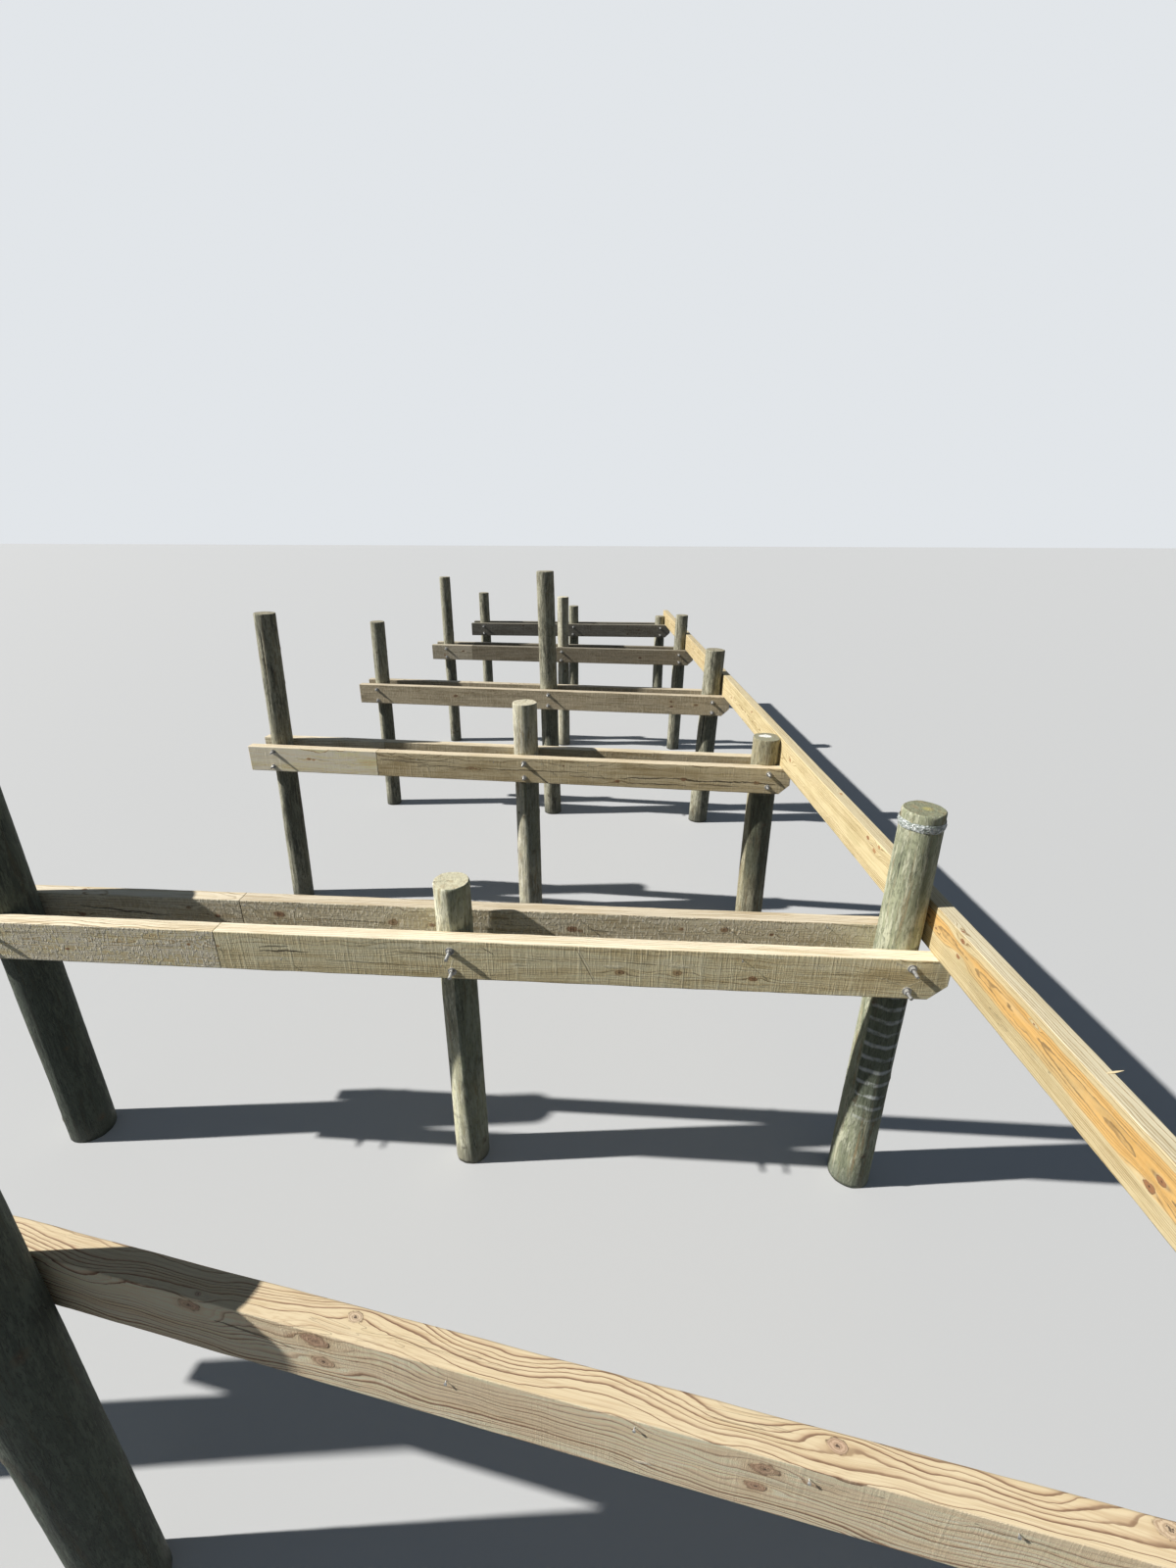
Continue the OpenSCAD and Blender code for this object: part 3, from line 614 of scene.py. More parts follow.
class Timber:
    """Directions and limits of a sawn timber, read from its CAD solid."""

    def __init__(self, node):
        points = corner_points(node)
        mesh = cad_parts[node].data
        ends = np.array([edge.vertices[:] for edge in mesh.edges])
        spans = points[ends[:, 1]] - points[ends[:, 0]]
        level = spans[(abs(spans[:, 2]) < 1e-5) & (np.linalg.norm(spans, axis=1) > 0.3)]
        ways = [span[:2] / np.hypot(*span[:2]) for span in level]
        x, y = min(ways, key=lambda way: np.ptp(points[:, :2] @ (-way[1], way[0])))
        self.along = np.array([x, y, 0.0]) * (-1.0 if x + y < 0 else 1.0)
        self.across = np.array([-self.along[1], self.along[0], 0.0])
        u = points @ self.along
        v = points @ self.across
        self.u = (u.min(), u.max())
        self.v = (v.min(), v.max())
        self.w = (points[:, 2].min(), points[:, 2].max())
        self.slant = points[u > u.max() - 1e-4][:, 2].min() - self.w[0]

    def world(self, u, v, w):
        return np.outer(u, self.along) + np.outer(v, self.across) + np.outer(w, (0.0, 0.0, 1.0))


def fit_circle(points):
    """Centre and radius of the level circle through the points."""
    a = np.c_[points[:, 0], points[:, 1], np.ones(len(points))]
    b = (points[:, :2] ** 2).sum(axis=1)
    solution = np.linalg.lstsq(a, b, rcond=None)[0]
    centre = solution[:2] / 2
    return centre, math.sqrt(solution[2] + centre @ centre)


class Pile:
    """Axis and radii of a round pile, read from its CAD solid."""

    def __init__(self, node):
        points = corner_points(node)
        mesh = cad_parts[node].data
        self.top = points[:, 2].max()
        top_ring = set()
        for face in mesh.polygons:
            if face.normal.z > 0.99 and face.center.z > self.top - 0.02:
                top_ring.update(face.vertices)
        upper = points[sorted(top_ring)]
        lower = points[points[:, 2] < 0.0005]
        self.low_centre, self.low_radius = fit_circle(lower)
        self.high_centre, self.high_radius = fit_circle(upper)
        self.high = upper[:, 2].mean()
        self.high_radius += EDGE
        slope = upper - np.append(self.high_centre, self.high)
        self.tilt = np.linalg.lstsq(slope[:, :2], slope[:, 2], rcond=None)[0]

    def centre(self, z):
        share = z / self.high
        return self.low_centre + np.multiply.outer(share, self.high_centre - self.low_centre)

    def radius(self, z):
        return self.low_radius + z / self.high * (self.high_radius - self.low_radius)


# Meshes
def add_object(name, data):
    """A new object in the scene."""
    made = bpy.data.objects.new(name, data)
    bpy.context.scene.collection.objects.link(made)
    return made


def make_piece(name, points, faces, material, attributes=(), smooth=True):
    mesh = bpy.data.meshes.new(name)
    mesh.from_pydata([tuple(p) for p in points], [], faces)
    for key, values in dict(attributes).items():
        values = np.asarray(values, dtype=np.float32)
        kind = "FLOAT_VECTOR" if values.ndim == 2 else "FLOAT"
        layer = mesh.attributes.new(key, kind, "POINT")
        layer.data.foreach_set("vector" if values.ndim == 2 else "value", values.ravel())
    mesh.materials.append(material)
    if smooth:
        mesh.shade_smooth()
    return add_object(name, mesh)


def tube_faces(rings, count, low=0):
    """Quads between rings of count points, the first ring starting at the point numbered low."""
    faces = []
    for i in range(rings - 1):
        for j in range(count):
            a = low + i * count + j
            b = low + i * count + (j + 1) % count
            faces.append((a, b, b + count, a + count))
    return faces


# Corners of a cell in the order of its outward quad, on the low and the high side of a box
LOW_SIDE = ((0, 0), (0, 1), (1, 1), (1, 0))
HIGH_SIDE = ((0, 0), (1, 0), (1, 1), (0, 1))


def box_grid(*cells):
    """Index triples and outward quads of a closed box with so many cells along each axis."""
    index = {}
    quads = []
    for axis in range(3):
        a, b = (axis + 1) % 3, (axis + 2) % 3
        for level, steps in ((0, LOW_SIDE), (cells[axis], HIGH_SIDE)):
            for i in range(cells[a]):
                for j in range(cells[b]):
                    quad = []
                    for step_a, step_b in steps:
                        key = [level] * 3
                        key[a], key[b] = i + step_a, j + step_b
                        quad.append(index.setdefault(tuple(key), len(index)))
                    quads.append(quad)
    return np.array(list(index)), quads


def spaced(start, finish, step):
    return np.linspace(start, finish, max(2, round((finish - start) / step)) + 1)


def joints_of(timber, others):
    """Distances from the outboard end at which the board butts against another in its line."""
    joints = []
    for other in others:
        beside = abs(other.along @ timber.across) < 0.01 and abs(other.v[0] - timber.v[0]) < 0.005
        if beside and abs(other.u[0] - timber.u[1]) < 0.003:
            joints.append(0.0)
        if beside and abs(other.u[1] - timber.u[0]) < 0.003:
            joints.append(timber.u[0] - timber.u[1])
    return joints


def board_piece(node, look, knots, strokes, pith, joints, seed):
    """A sawn board with worn arrises and its own grain, in place of its CAD solid."""
    timber = Timber(node)
    rng = random.Random(seed)
    (u0, u1), (v0, v1), (w0, w1) = timber.u, timber.v, timber.w
    u_end = u1
    if 0.0 in joints:
        u1 -= JOINT_GAP
    if any(joint < 0.0 for joint in joints):
        u0 += JOINT_GAP
    inner = EDGE + SUPPORT
    us = spaced(u0 + 2 * SUPPORT, u1 - 2 * SUPPORT, BOARD_STEPS[0])
    us = np.r_[u0, u0 + SUPPORT, us, u1 - SUPPORT, u1]
    vs = np.r_[v0, v0 + EDGE, spaced(v0 + inner, v1 - inner, BOARD_STEPS[1]), v1 - EDGE, v1]
    middle = spaced(w0 + inner, w1 - inner, BOARD_STEPS[2])
    if timber.slant > LEAST_SLANT:
        crease = w0 + timber.slant
        middle[np.abs(middle - crease).argmin()] = crease
    ws = np.r_[w0, w0 + EDGE, middle, w1 - EDGE, w1]
    triples, quads = box_grid(len(us) - 1, len(vs) - 1, len(ws) - 1)
    u, v, w = us[triples[:, 0]], vs[triples[:, 1]], ws[triples[:, 2]]
    flat_v, flat_w = v.copy(), w.copy()

    side = np.where(triples[:, 1] == 0, 1.0, np.where(triples[:, 1] == len(vs) - 1, -1.0, 0.0))
    level = np.where(triples[:, 2] == 0, 1.0, np.where(triples[:, 2] == len(ws) - 1, -1.0, 0.0))
    arris = (side != 0) & (level != 0)
    wear = np.zeros(len(u))
    for n in np.nonzero(arris)[0]:
        spot = Vector((u[n] * 5.0 + seed, side[n] * 7.0, level[n] * 3.0))
        wear[n] = EDGE * max(0.08, ARRIS_WEAR[look] + 0.26 * noise.fractal(spot, 0.8, 2.0, 3))
    v = v + side * wear
    w = w + level * wear
    end = (triples[:, 0] == 0) | (triples[:, 0] == len(us) - 1)
    v = np.where(end, v + side * END_WEAR, v)
    w = np.where(end, w + level * END_WEAR, w)
    if timber.slant > LEAST_SLANT:
        start = u1 - SLANT_RUN
        limit = u1 - np.maximum(0.0, timber.slant - (w - w0))
        share = np.clip((u - start) / (u1 - start), 0.0, 1.0)
        u = np.where(u > start, start + (limit - start) * share, u)

    pv, pw, dv, dw = pith
    phase = rng.uniform(0, 6.28)
    centre_v = (v0 + v1) / 2 + pv + dv * (u - u1) + BOARD_SWEEP[0] * np.sin(2.1 * (u - u0) + phase)
    centre_w = w1 + pw + dw * (u - u1) + BOARD_SWEEP[1] * np.sin(1.3 * (u - u0) + 1.7 * phase)
    grain = np.c_[u + 10.0 * seed, (flat_v - centre_v) * RING_STRETCH, flat_w - centre_w]
    place = np.c_[u - u_end, flat_v - v0, flat_w - w1]
    material = timber_material(node, look, knots, strokes, joints, timber.along)
    piece = make_piece(node + "_board", timber.world(u, v, w), quads, material,
                       {"grain": grain, "board": place})
    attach(piece, "root")
    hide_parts(node)


def around(angle, other):
    """Signed turn from one angle to the other, in radians."""
    return (angle - other + math.pi) % (2 * math.pi) - math.pi


def roughness_at(points, shift=(0.0, 0.0, 0.0)):
    """Smooth noise between -1 and 1 at each point."""
    move = Vector(shift)
    return np.array([noise.noise(Vector(p) + move) for p in points])


def pile_columns(cracks, mean_radius):
    """Angles of the mesh columns: even ones, with five close together at each crack."""
    angles = list(np.linspace(0, 2 * math.pi, PILE_COLUMNS, endpoint=False))
    for angle, low, high, depth, width in cracks:
        half = width / 2 / mean_radius
        angles = [a for a in angles if abs(around(a, angle)) > 1.6 * half]
        angles += [(angle + half * k) % (2 * math.pi) for k in (-1.0, -0.45, 0.0, 0.45, 1.0)]
    return np.array(sorted(angles))


def pile_rows(top, ledges):
    """Heights of the mesh rows: even, with two close together at each ledge and more at the top."""
    rows = list(spaced(0.0, top - 0.03, PILE_STEP))
    for ledge in ledges:
        if ledge < top - 0.03:
            rows = [h for h in rows if abs(h - ledge) > 0.004]
            rows += [ledge - 0.0006, ledge + 0.0006]
    return np.array(sorted(rows) + [top - 0.02, top - 0.009, top - 0.004, top - 0.0012, top])


def crack_depth(angle, z, cracks, radius):
    """Depth of the nearest check at each angle and height."""
    depth_here = np.zeros_like(angle)
    for centre, low, high, depth, width in cracks:
        aside = np.abs(around(angle, centre)) * radius / (width / 2)
        taper = np.clip((z - low) / CRACK_TAPER, 0, 1) * np.clip((high - z) / CRACK_TAPER, 0, 1)
        depth_here = np.maximum(depth_here, taper * np.clip(1 - aside, 0, 1) * depth)
    return depth_here


def pile_side(pile, knots, cracks, rows, columns, seed):
    """Points of a pile's side, and the height, depth of check and nearness to a knot at each."""
    mean_radius = (pile.low_radius + pile.high_radius) / 2
    angle = np.tile(columns, len(rows))
    z = np.repeat(rows, len(columns))
    turn = angle + 0.1 * (z - 1.2) + 0.02 * np.sin(3.0 * z + seed)
    way = np.c_[np.cos(turn), np.sin(turn)]
    plain = pile.radius(z)
    lobes = roughness_at(np.c_[way * 1.1, z * 0.9], (seed * 3.7, 0, 0))
    flutes = roughness_at(np.c_[way * 5.0, z * 1.7], (0, seed * 1.9, 0))
    dents = roughness_at(np.c_[way * 9.0, z * 14.0], (seed, 0, 0))
    chips = roughness_at(np.c_[way * 2.6, np.full(len(z), seed * 2.3)])
    radius = plain - PILE_INSET + PILE_LOBES * lobes + PILE_FLUTES * flutes + PILE_DENTS * dents
    nearest = np.full(len(z), NO_KNOT)
    for centre, level, size in knots:
        away = np.hypot(around(angle, centre) * plain, z - level)
        radius += KNOT_BULGE * size * np.exp(-((away / (1.5 * size)) ** 2))
        nearest = np.minimum(nearest, away * 0.014 / size)
    depth = crack_depth(angle, z, cracks, mean_radius)
    worn = np.clip((z - (pile.high - PILE_WORN)) / PILE_WORN, 0, 1) ** 2.2
    radius -= depth + EDGE * np.maximum(0.35, 1.0 + 1.4 * chips) * worn
    offset = way * radius[:, None]
    lift = (z / pile.high) ** 8 * (offset @ pile.tilt)
    return np.c_[pile.centre(z) + offset, np.minimum(z + lift, pile.top)], z, depth, nearest


def pile_cap(pile, edge, cap_depth, seed):
    """Rings of points over the sawn top, from its edge inward, and its middle point."""
    hub = np.append(pile.centre(pile.high), pile.high)
    rings = []
    for share in CAP_RINGS:
        ring = hub + (edge - hub) * share
        ring[:, 2] += CAP_ROUGH * roughness_at(ring * 14.0, (seed, 0, 0))
        ring[:, 2] -= 1.4 * cap_depth * max(0.0, share - 0.12)
        ring[:, 2] = np.minimum(ring[:, 2], pile.top)
        rings.append(ring)
    return rings + [hub[None, :]]


def pile_quads(rows, count):
    """Faces of a pile: its side, its foot, and its top with a fan at the middle."""
    quads = tube_faces(rows, count)
    quads.append(tuple(range(count - 1, -1, -1)))
    quads += tube_faces(len(CAP_RINGS) + 1, count, (rows - 1) * count)
    last = (rows - 1 + len(CAP_RINGS)) * count
    return quads + [(last + j, last + (j + 1) % count, last + count) for j in range(count)]


def pile_piece(node, look, knots, cracks, seats, rim, seed, pale_lines=None):
    """A round pile with knots, checks and a worn top, in place of its CAD solid."""
    pile = Pile(node)
    near, far = seats
    bearing = near or far
    ledges = [bearing.w[0], bearing.w[1]] + ([rim.w[1]] if rim else [])
    mean_radius = (pile.low_radius + pile.high_radius) / 2
    columns = pile_columns(cracks, mean_radius)
    count = len(columns)
    rows = pile_rows(pile.high, ledges)
    side, z, depth, nearest = pile_side(pile, knots, cracks, rows, columns, seed)
    seat_side(side, z, near, far, rim)
    cap_depth = crack_depth(columns, np.full(count, pile.high - 0.11), cracks, mean_radius)
    points = np.vstack([side] + pile_cap(pile, side[-count:], cap_depth, seed))

    cap_count = len(points) - len(side)
    pith = np.array([0.012 * math.cos(seed), 0.012 * math.sin(seed)])
    grooves = np.r_[depth, np.tile(cap_depth, len(CAP_RINGS)), 0.0]
    attributes = {
        "grain": np.c_[points[:, 2] + 4.1 * seed, points[:, :2] - pile.centre(points[:, 2]) - pith],
        "height": points[:, 2],
        "knot": np.r_[nearest, np.full(cap_count, NO_KNOT)],
        "cap": np.r_[np.where(z >= pile.high, 1.0, 0.0), np.ones(cap_count)],
        "groove": np.clip(grooves / CRACK_SHOWN, 0, 1),
    }
    material = pile_material(node, look, pale_lines)
    piece = make_piece(node + "_timber", points, pile_quads(len(rows), count), material, attributes)
    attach(piece, "root")
    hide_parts(node)
    return pile


def seat_side(side, z, near, far, rim):
    """Flattens a pile's side where it bears on its cross-beams and on the rim beam."""
    bearing = near or far
    held = (z > bearing.w[0]) & (z < bearing.w[1])
    v = side[:, :2] @ bearing.across[:2]
    if near:
        short = np.where(held, np.maximum(0.0, near.v[1] + SEAT_CLEARANCE - v), 0.0)
        side[:, :2] += np.outer(short, near.across[:2])
    if far:
        over = np.where(held, np.maximum(0.0, v - far.v[0] + SEAT_CLEARANCE), 0.0)
        side[:, :2] -= np.outer(over, far.across[:2])
    if rim:
        inner = -rim.v[1] - SEAT_CLEARANCE
        beside = (z > rim.w[0]) & (z < rim.w[1])
        side[:, 0] = np.where(beside, np.minimum(side[:, 0], inner), side[:, 0])


# Fastenings
def spun(rings, origin, forward, closed=True):
    """Solid round an axis: each ring has a distance along, a rise, and its points' angles and radii."""
    forward = Vector(forward).normalized()
    right = forward.cross(Vector((0, 0, 1))).normalized()
    up = right.cross(forward)
    points = []
    for along, rise, corners in rings:
        for angle, radius in corners:
            middle = Vector(origin) + forward * along + right * (radius * math.cos(angle))
            points.append(middle + up * (rise + radius * math.sin(angle)))
    count = len(corners)
    faces = tube_faces(len(rings), count)
    if closed:
        faces.append(tuple(range(count - 1, -1, -1)))
    faces.append(tuple(range(len(points) - count, len(points))))
    return points, faces


def lathe(profile, sides, origin, forward):
    """Turned solid: the profile lists (distance along the axis, radius)."""
    turn = np.linspace(0, 2 * math.pi, sides, endpoint=False)
    rings = [(along, 0.0, [(angle, radius) for angle in turn]) for along, radius in profile]
    return spun(rings, origin, forward)


def gather(parts):
    """Points and faces of several parts as one mesh."""
    points, faces = [], []
    for some_points, some_faces in parts:
        base = len(points)
        points += [tuple(p) for p in some_points]
        faces += [tuple(base + n for n in face) for face in some_faces]
    return points, faces


def washer_part(origin, forward):
    t, r = WASHER_THICKNESS, WASHER_RADIUS
    profile = [(-0.0005, r - 0.0004), (0.0, r), (t - 0.0008, r), (t, r - 0.0012), (t, 0.008)]
    return lathe(profile, 28, origin, forward)


def nut_part(origin, forward, turn):
    """Hexagonal nut with chamfered corners."""
    low, high = WASHER_THICKNESS, WASHER_THICKNESS + NUT_HEIGHT
    flat = NUT_ACROSS / 2
    corner = flat / math.cos(math.pi / 6)
    rings = []
    for along, swell in ((low, 0.0), (low + 0.0015, 1.0), (high - 0.0025, 1.0), (high, 0.0)):
        radii = (flat + (corner - flat) * swell, flat)
        rings.append((along, 0.0, [(turn + n * math.pi / 6, radii[n % 2]) for n in range(12)]))
    return spun(rings, origin, forward, closed=False)


def rod_part(origin, forward, reach):
    """Threaded end of a bolt, standing out past its nut."""
    start = WASHER_THICKNESS
    finish = WASHER_THICKNESS + NUT_HEIGHT + reach
    profile = []
    for along in np.arange(start, finish - 0.003, THREAD_PITCH):
        profile += [(along, ROD_RADIUS - 0.0011), (along + THREAD_PITCH / 2, ROD_RADIUS)]
    profile += [(finish - 0.0015, ROD_RADIUS - 0.0008), (finish, ROD_RADIUS - 0.0025)]
    return lathe(profile, 16, origin, forward)


def head_part(origin, forward):
    """Low domed bolt head on its washer."""
    t = WASHER_THICKNESS
    profile = [(t - 0.0005, HEAD_RADIUS), (t + 0.002, HEAD_RADIUS)]
    for n in range(1, 6):
        a = n * math.pi / 10.5
        profile.append((t + 0.002 + (HEAD_HEIGHT - 0.002) * math.sin(a), HEAD_RADIUS * math.cos(a)))
    return lathe(profile, 24, origin, forward)


def nail_part(origin, forward, reach, sag):
    """A bent nail with its flat head, standing out of a face."""
    neck = reach - NAIL_HEAD_HEIGHT
    rings = []
    for along, radius in ((-0.002, NAIL_RADIUS), (0.5 * reach, NAIL_RADIUS), (neck, NAIL_RADIUS),
                          (neck, NAIL_HEAD_RADIUS), (reach, NAIL_HEAD_RADIUS)):
        rise = -sag * (max(along, 0.0) / reach) ** 2
        rings.append((along, rise, [(n * math.pi / 4, radius) for n in range(8)]))
    return spun(rings, origin, forward)


def build_nails(steel):
    """The nails left standing in the near faces, one piece for each board."""
    for node, nails in NAILS.items():
        timber = Timber(node)
        rng = random.Random(node)
        parts = []
        for u, w, reach in nails:
            place = timber.world([timber.u[1] + u], [timber.v[0]], [timber.w[1] + w])[0]
            parts.append(nail_part(place, -timber.across, reach, rng.uniform(0.0, 0.006)))
        points, faces = gather(parts)
        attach(make_piece(node + "_nails", points, faces, steel, smooth=False), "root")


# Bolts: shift along the bent from the pile's axis, depth below the beam tops, and reach of the thread
USUAL_BOLTS = ((0, 0.056, 0.05), (0, 0.19, 0.03))
BOLTS = {
    "b_middle": ((0.017, 0.062, 0.06), (0.021, 0.187, 0.042)),
    "b_outer": ((0.012, 0.05, 0.052), (0.009, 0.185, 0.045)),
    "c_bank": ((0.004, 0.045, 0.03), (-0.01, 0.189, 0.03)),
    "c_middle": ((0.013, 0.051, 0.058), (0.013, 0.187, 0.035)),
    "c_outer": ((0.02, 0.052, 0.04), (0.016, 0.172, 0.028)),
    "d_bank": ((-0.012, 0.059, 0.025), (-0.008, 0.2, 0.025)),
    "d_middle": ((0.024, 0.048, 0.052), (0.016, 0.184, 0.036)),
    "d_outer": ((0.014, 0.07, 0.034), (0.02, 0.196, 0.03)),
    "e_middle": ((-0.005, 0.061, 0.05), (-0.016, 0.2, 0.03)),
    "e_outer": ((-0.012, 0.068, 0.03), (-0.002, 0.187, 0.026)),
    "f_middle": ((0.003, 0.057, 0.04), (-0.005, 0.19, 0.03)),
}


def bent_bolts(bent, piles, near, far, steel):
    """All the through-bolts of one bent, as one piece."""
    rng = random.Random(bent)
    parts = []
    bearing = near or far
    for row, pile in piles.items():
        for shift, depth, reach in BOLTS.get(f"{bent}_{row}", USUAL_BOLTS):
            z = bearing.w[1] - depth
            centre = pile.centre(z)
            u = centre @ bearing.along[:2] + shift
            head_place = bearing.world([u], [far.v[1]], [z])[0]
            forward = -Vector(bearing.across)
            parts += [washer_part(head_place, -forward), head_part(head_place, -forward)]
            if near:
                nut_place = bearing.world([u], [near.v[0]], [z])[0]
                parts += [washer_part(nut_place, forward), rod_part(nut_place, forward, reach)]
                parts += [nut_part(nut_place, forward, rng.uniform(0, 1))]
    points, faces = gather(parts)
    piece = make_piece(f"{bent}_bolts", points, faces, steel, smooth=False)
    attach(piece, "root")


def build_wrap(pile):
    """Crumpled clear film wound round the pile near its top."""
    points = []
    for i in range(WRAP_ROWS):
        for j in range(WRAP_COLUMNS):
            a = 2 * math.pi * j / WRAP_COLUMNS
            way = Vector((math.cos(a), math.sin(a), 0.0))
            spot = way * 2.2
            high = pile.high - WRAP_DROP
            low = high - WRAP_WIDTH + 0.008 * noise.noise(spot + Vector((3.0, 1.0, 7.0)))
            high += 0.007 * noise.noise(spot + Vector((9.0, 2.0, 1.0)))
            z = low + (high - low) * i / (WRAP_ROWS - 1)
            crumple = abs(noise.fractal(Vector((way.x * 11.0, way.y * 11.0, z * 120.0)), 0.7, 2.0, 3))
            puff = math.sin(math.pi * i / (WRAP_ROWS - 1))
            radius = pile.radius(z) + WRAP_LIFT + puff * (WRAP_LIFT + WRAP_CRUMPLE * crumple)
            centre = pile.centre(z)
            points.append((centre[0] + way.x * radius, centre[1] + way.y * radius, z))
    faces = tube_faces(WRAP_ROWS, WRAP_COLUMNS)
    s = Shade("crumpled_film")
    place = s.geometry("Position")
    crease = s.cells(s.stretch(place, (1.0, 1.0, 2.5)), 90.0)
    haze = s.noise(place, 60.0, 3.0)
    color = s.mix(s.fade(haze, 0.35, 0.65), (0.2, 0.24, 0.2), (0.62, 0.66, 0.66))
    s.shader.inputs["Specular IOR Level"].default_value = 0.8
    material = s.finish(color, 0.18, s.bump(s.math("ADD", crease, haze), 0.004, 1.0))
    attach(make_piece("b_outer_film", points, faces, material), "root")


def build_splinter(timber):
    """A pale sliver lifted off the outer arris of the rim beam."""
    u, v, w = SLIVER_PLACE
    start = Vector(timber.world([timber.u[1] + u], [timber.v[0] + v], [timber.w[1] + w])[0])
    aside = Vector((-0.25, 0.97, 0.0))
    thick = Vector((0.0, 0.0, SLIVER_THICKNESS))
    points = []
    for share, half in SLIVER_HALVES:
        middle = start + Vector(SLIVER_RUN) * share
        low, high = middle - aside * half, middle + aside * half
        points += [low, high, high + thick, low + thick]
    faces = tube_faces(len(SLIVER_HALVES), 4) + [(3, 2, 1, 0), (12, 13, 14, 15)]
    s = Shade("pale_sliver")
    place = s.geometry("Position")
    fibre = s.field(place, (20.0, 500.0, 500.0), 2.0)
    color = s.mix(fibre, (0.62, 0.48, 0.26), (0.82, 0.72, 0.48))
    material = s.finish(color, 0.8, s.bump(fibre, 0.0003))
    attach(make_piece("rim_sliver", points, faces, material, smooth=False), "root")


# The jetty
BENTS = "abcdef"
ROWS = ("bank", "middle", "outer")
PILE_KINDS = {
    "a": ("dark", "dark", "pale"), "b": ("dark", "blond", "pale"), "c": ("grey", "tan", "olive"),
    "d": ("grey", "grey", "grey"), "e": ("grey", "tan", "grey"), "f": ("grey", "grey", "grey"),
}
PILE_KNOT_COUNTS = {"d_middle": 12}
BEAM_LOOKS = {"a": "fresh", "b": "weathered", "c": "weathered", "d": "grey", "e": "grey", "f": "grey"}

# Knots: distance from the outboard end, off the near face, from the top, and radius
BOARD_KNOTS = {
    "a_cross_beam": (
        (-1.442, 0, -0.052, 0.021), (-1.456, 0, -0.132, 0.017), (-2.612, 0.004, -0.04, 0.027),
        (-2.6, 0, -0.128, 0.022), (-2.519, 0.056, 0, 0.014), (-1.28, 0.056, 0, 0.015),
        (-0.6, 0.066, 0, 0.02), (-3.004, 0, -0.036, 0.022), (-2.975, 0.014, 0, 0.006),
        (-3.9, 0.084, -0.09, 0.019), (-2.1, 0.084, -0.17, 0.016), (-0.9, 0.084, -0.06, 0.018),
    ),
    "b_near_beam": (
        (-1.623, 0, -0.15, 0.014), (-1.332, 0, -0.138, 0.015), (-0.953, 0, -0.154, 0.014),
        (-3.725, 0, -0.09, 0.007), (-2.7, 0.084, -0.08, 0.015), (-1.1, 0.084, -0.16, 0.016),
    ),
    "b_far_beam": (
        (-1.864, 0, -0.104, 0.019), (-1.822, 0, -0.112, 0.01), (-1.04, 0, -0.07, 0.014),
        (-3.516, 0, -0.083, 0.019), (-2.867, 0, -0.105, 0.019), (-2.646, 0, -0.114, 0.011),
        (-0.787, 0, -0.09, 0.008), (-1.271, 0, -0.075, 0.008), (-0.6, 0.084, -0.12, 0.015),
    ),
    "b_near_bank_end": (
        (-0.147, 0, -0.089, 0.007), (-0.83, 0, -0.15, 0.008),
        (-0.5, 0.084, -0.1, 0.014),
    ),
    "c_near_bank_end": (
        (-0.655, 0, -0.1, 0.013), (-0.61, 0, -0.108, 0.009),
        (-0.4, 0.084, -0.12, 0.014),
    ),
    "c_near_beam": (
        (-2.8, 0, -0.116, 0.014), (-2.76, 0, -0.122, 0.009), (-0.903, 0, -0.134, 0.016),
        (-1.481, 0, -0.182, 0.014), (-0.278, 0, -0.138, 0.015), (-1.961, 0, -0.06, 0.006),
        (-1.5, 0.084, -0.1, 0.015), (-3.1, 0.084, -0.07, 0.013),
    ),
    "d_near_beam": (
        (-3.358, 0, -0.103, 0.017), (-0.69, 0, -0.078, 0.013), (-0.683, 0, -0.14, 0.013),
        (-0.393, 0, -0.11, 0.015), (-2.2, 0.084, -0.12, 0.015),
    ),
    "e_near_beam": ((-0.841, 0, -0.13, 0.016), (-2.3, 0, -0.06, 0.012), (-1.6, 0.084, -0.12, 0.014)),
    "rim_near_length": (
        (-0.475, 0.084, -0.03, 0.011), (-0.468, 0.084, -0.118, 0.01), (-0.991, 0.084, -0.046, 0.004),
        (-1.587, 0.084, -0.145, 0.014), (-1.612, 0.084, -0.09, 0.012), (-0.261, 0.084, -0.104, 0.005),
        (-0.444, 0.071, 0, 0.007), (-0.9, 0, -0.1, 0.016), (-2, 0, -0.16, 0.014),
    ),
    "rim_middle_length": (
        (-4.446, 0.084, -0.035, 0.012), (-4.6, 0.084, -0.02, 0.01), (-4.549, 0.084, -0.068, 0.013),
        (-3.847, 0.03, 0, 0.01), (-2.9, 0.084, -0.1, 0.014), (-1.6, 0.084, -0.06, 0.012),
        (-0.7, 0.084, -0.15, 0.014), (-3.3, 0, -0.12, 0.015), (-1.2, 0, -0.05, 0.013),
    ),
}

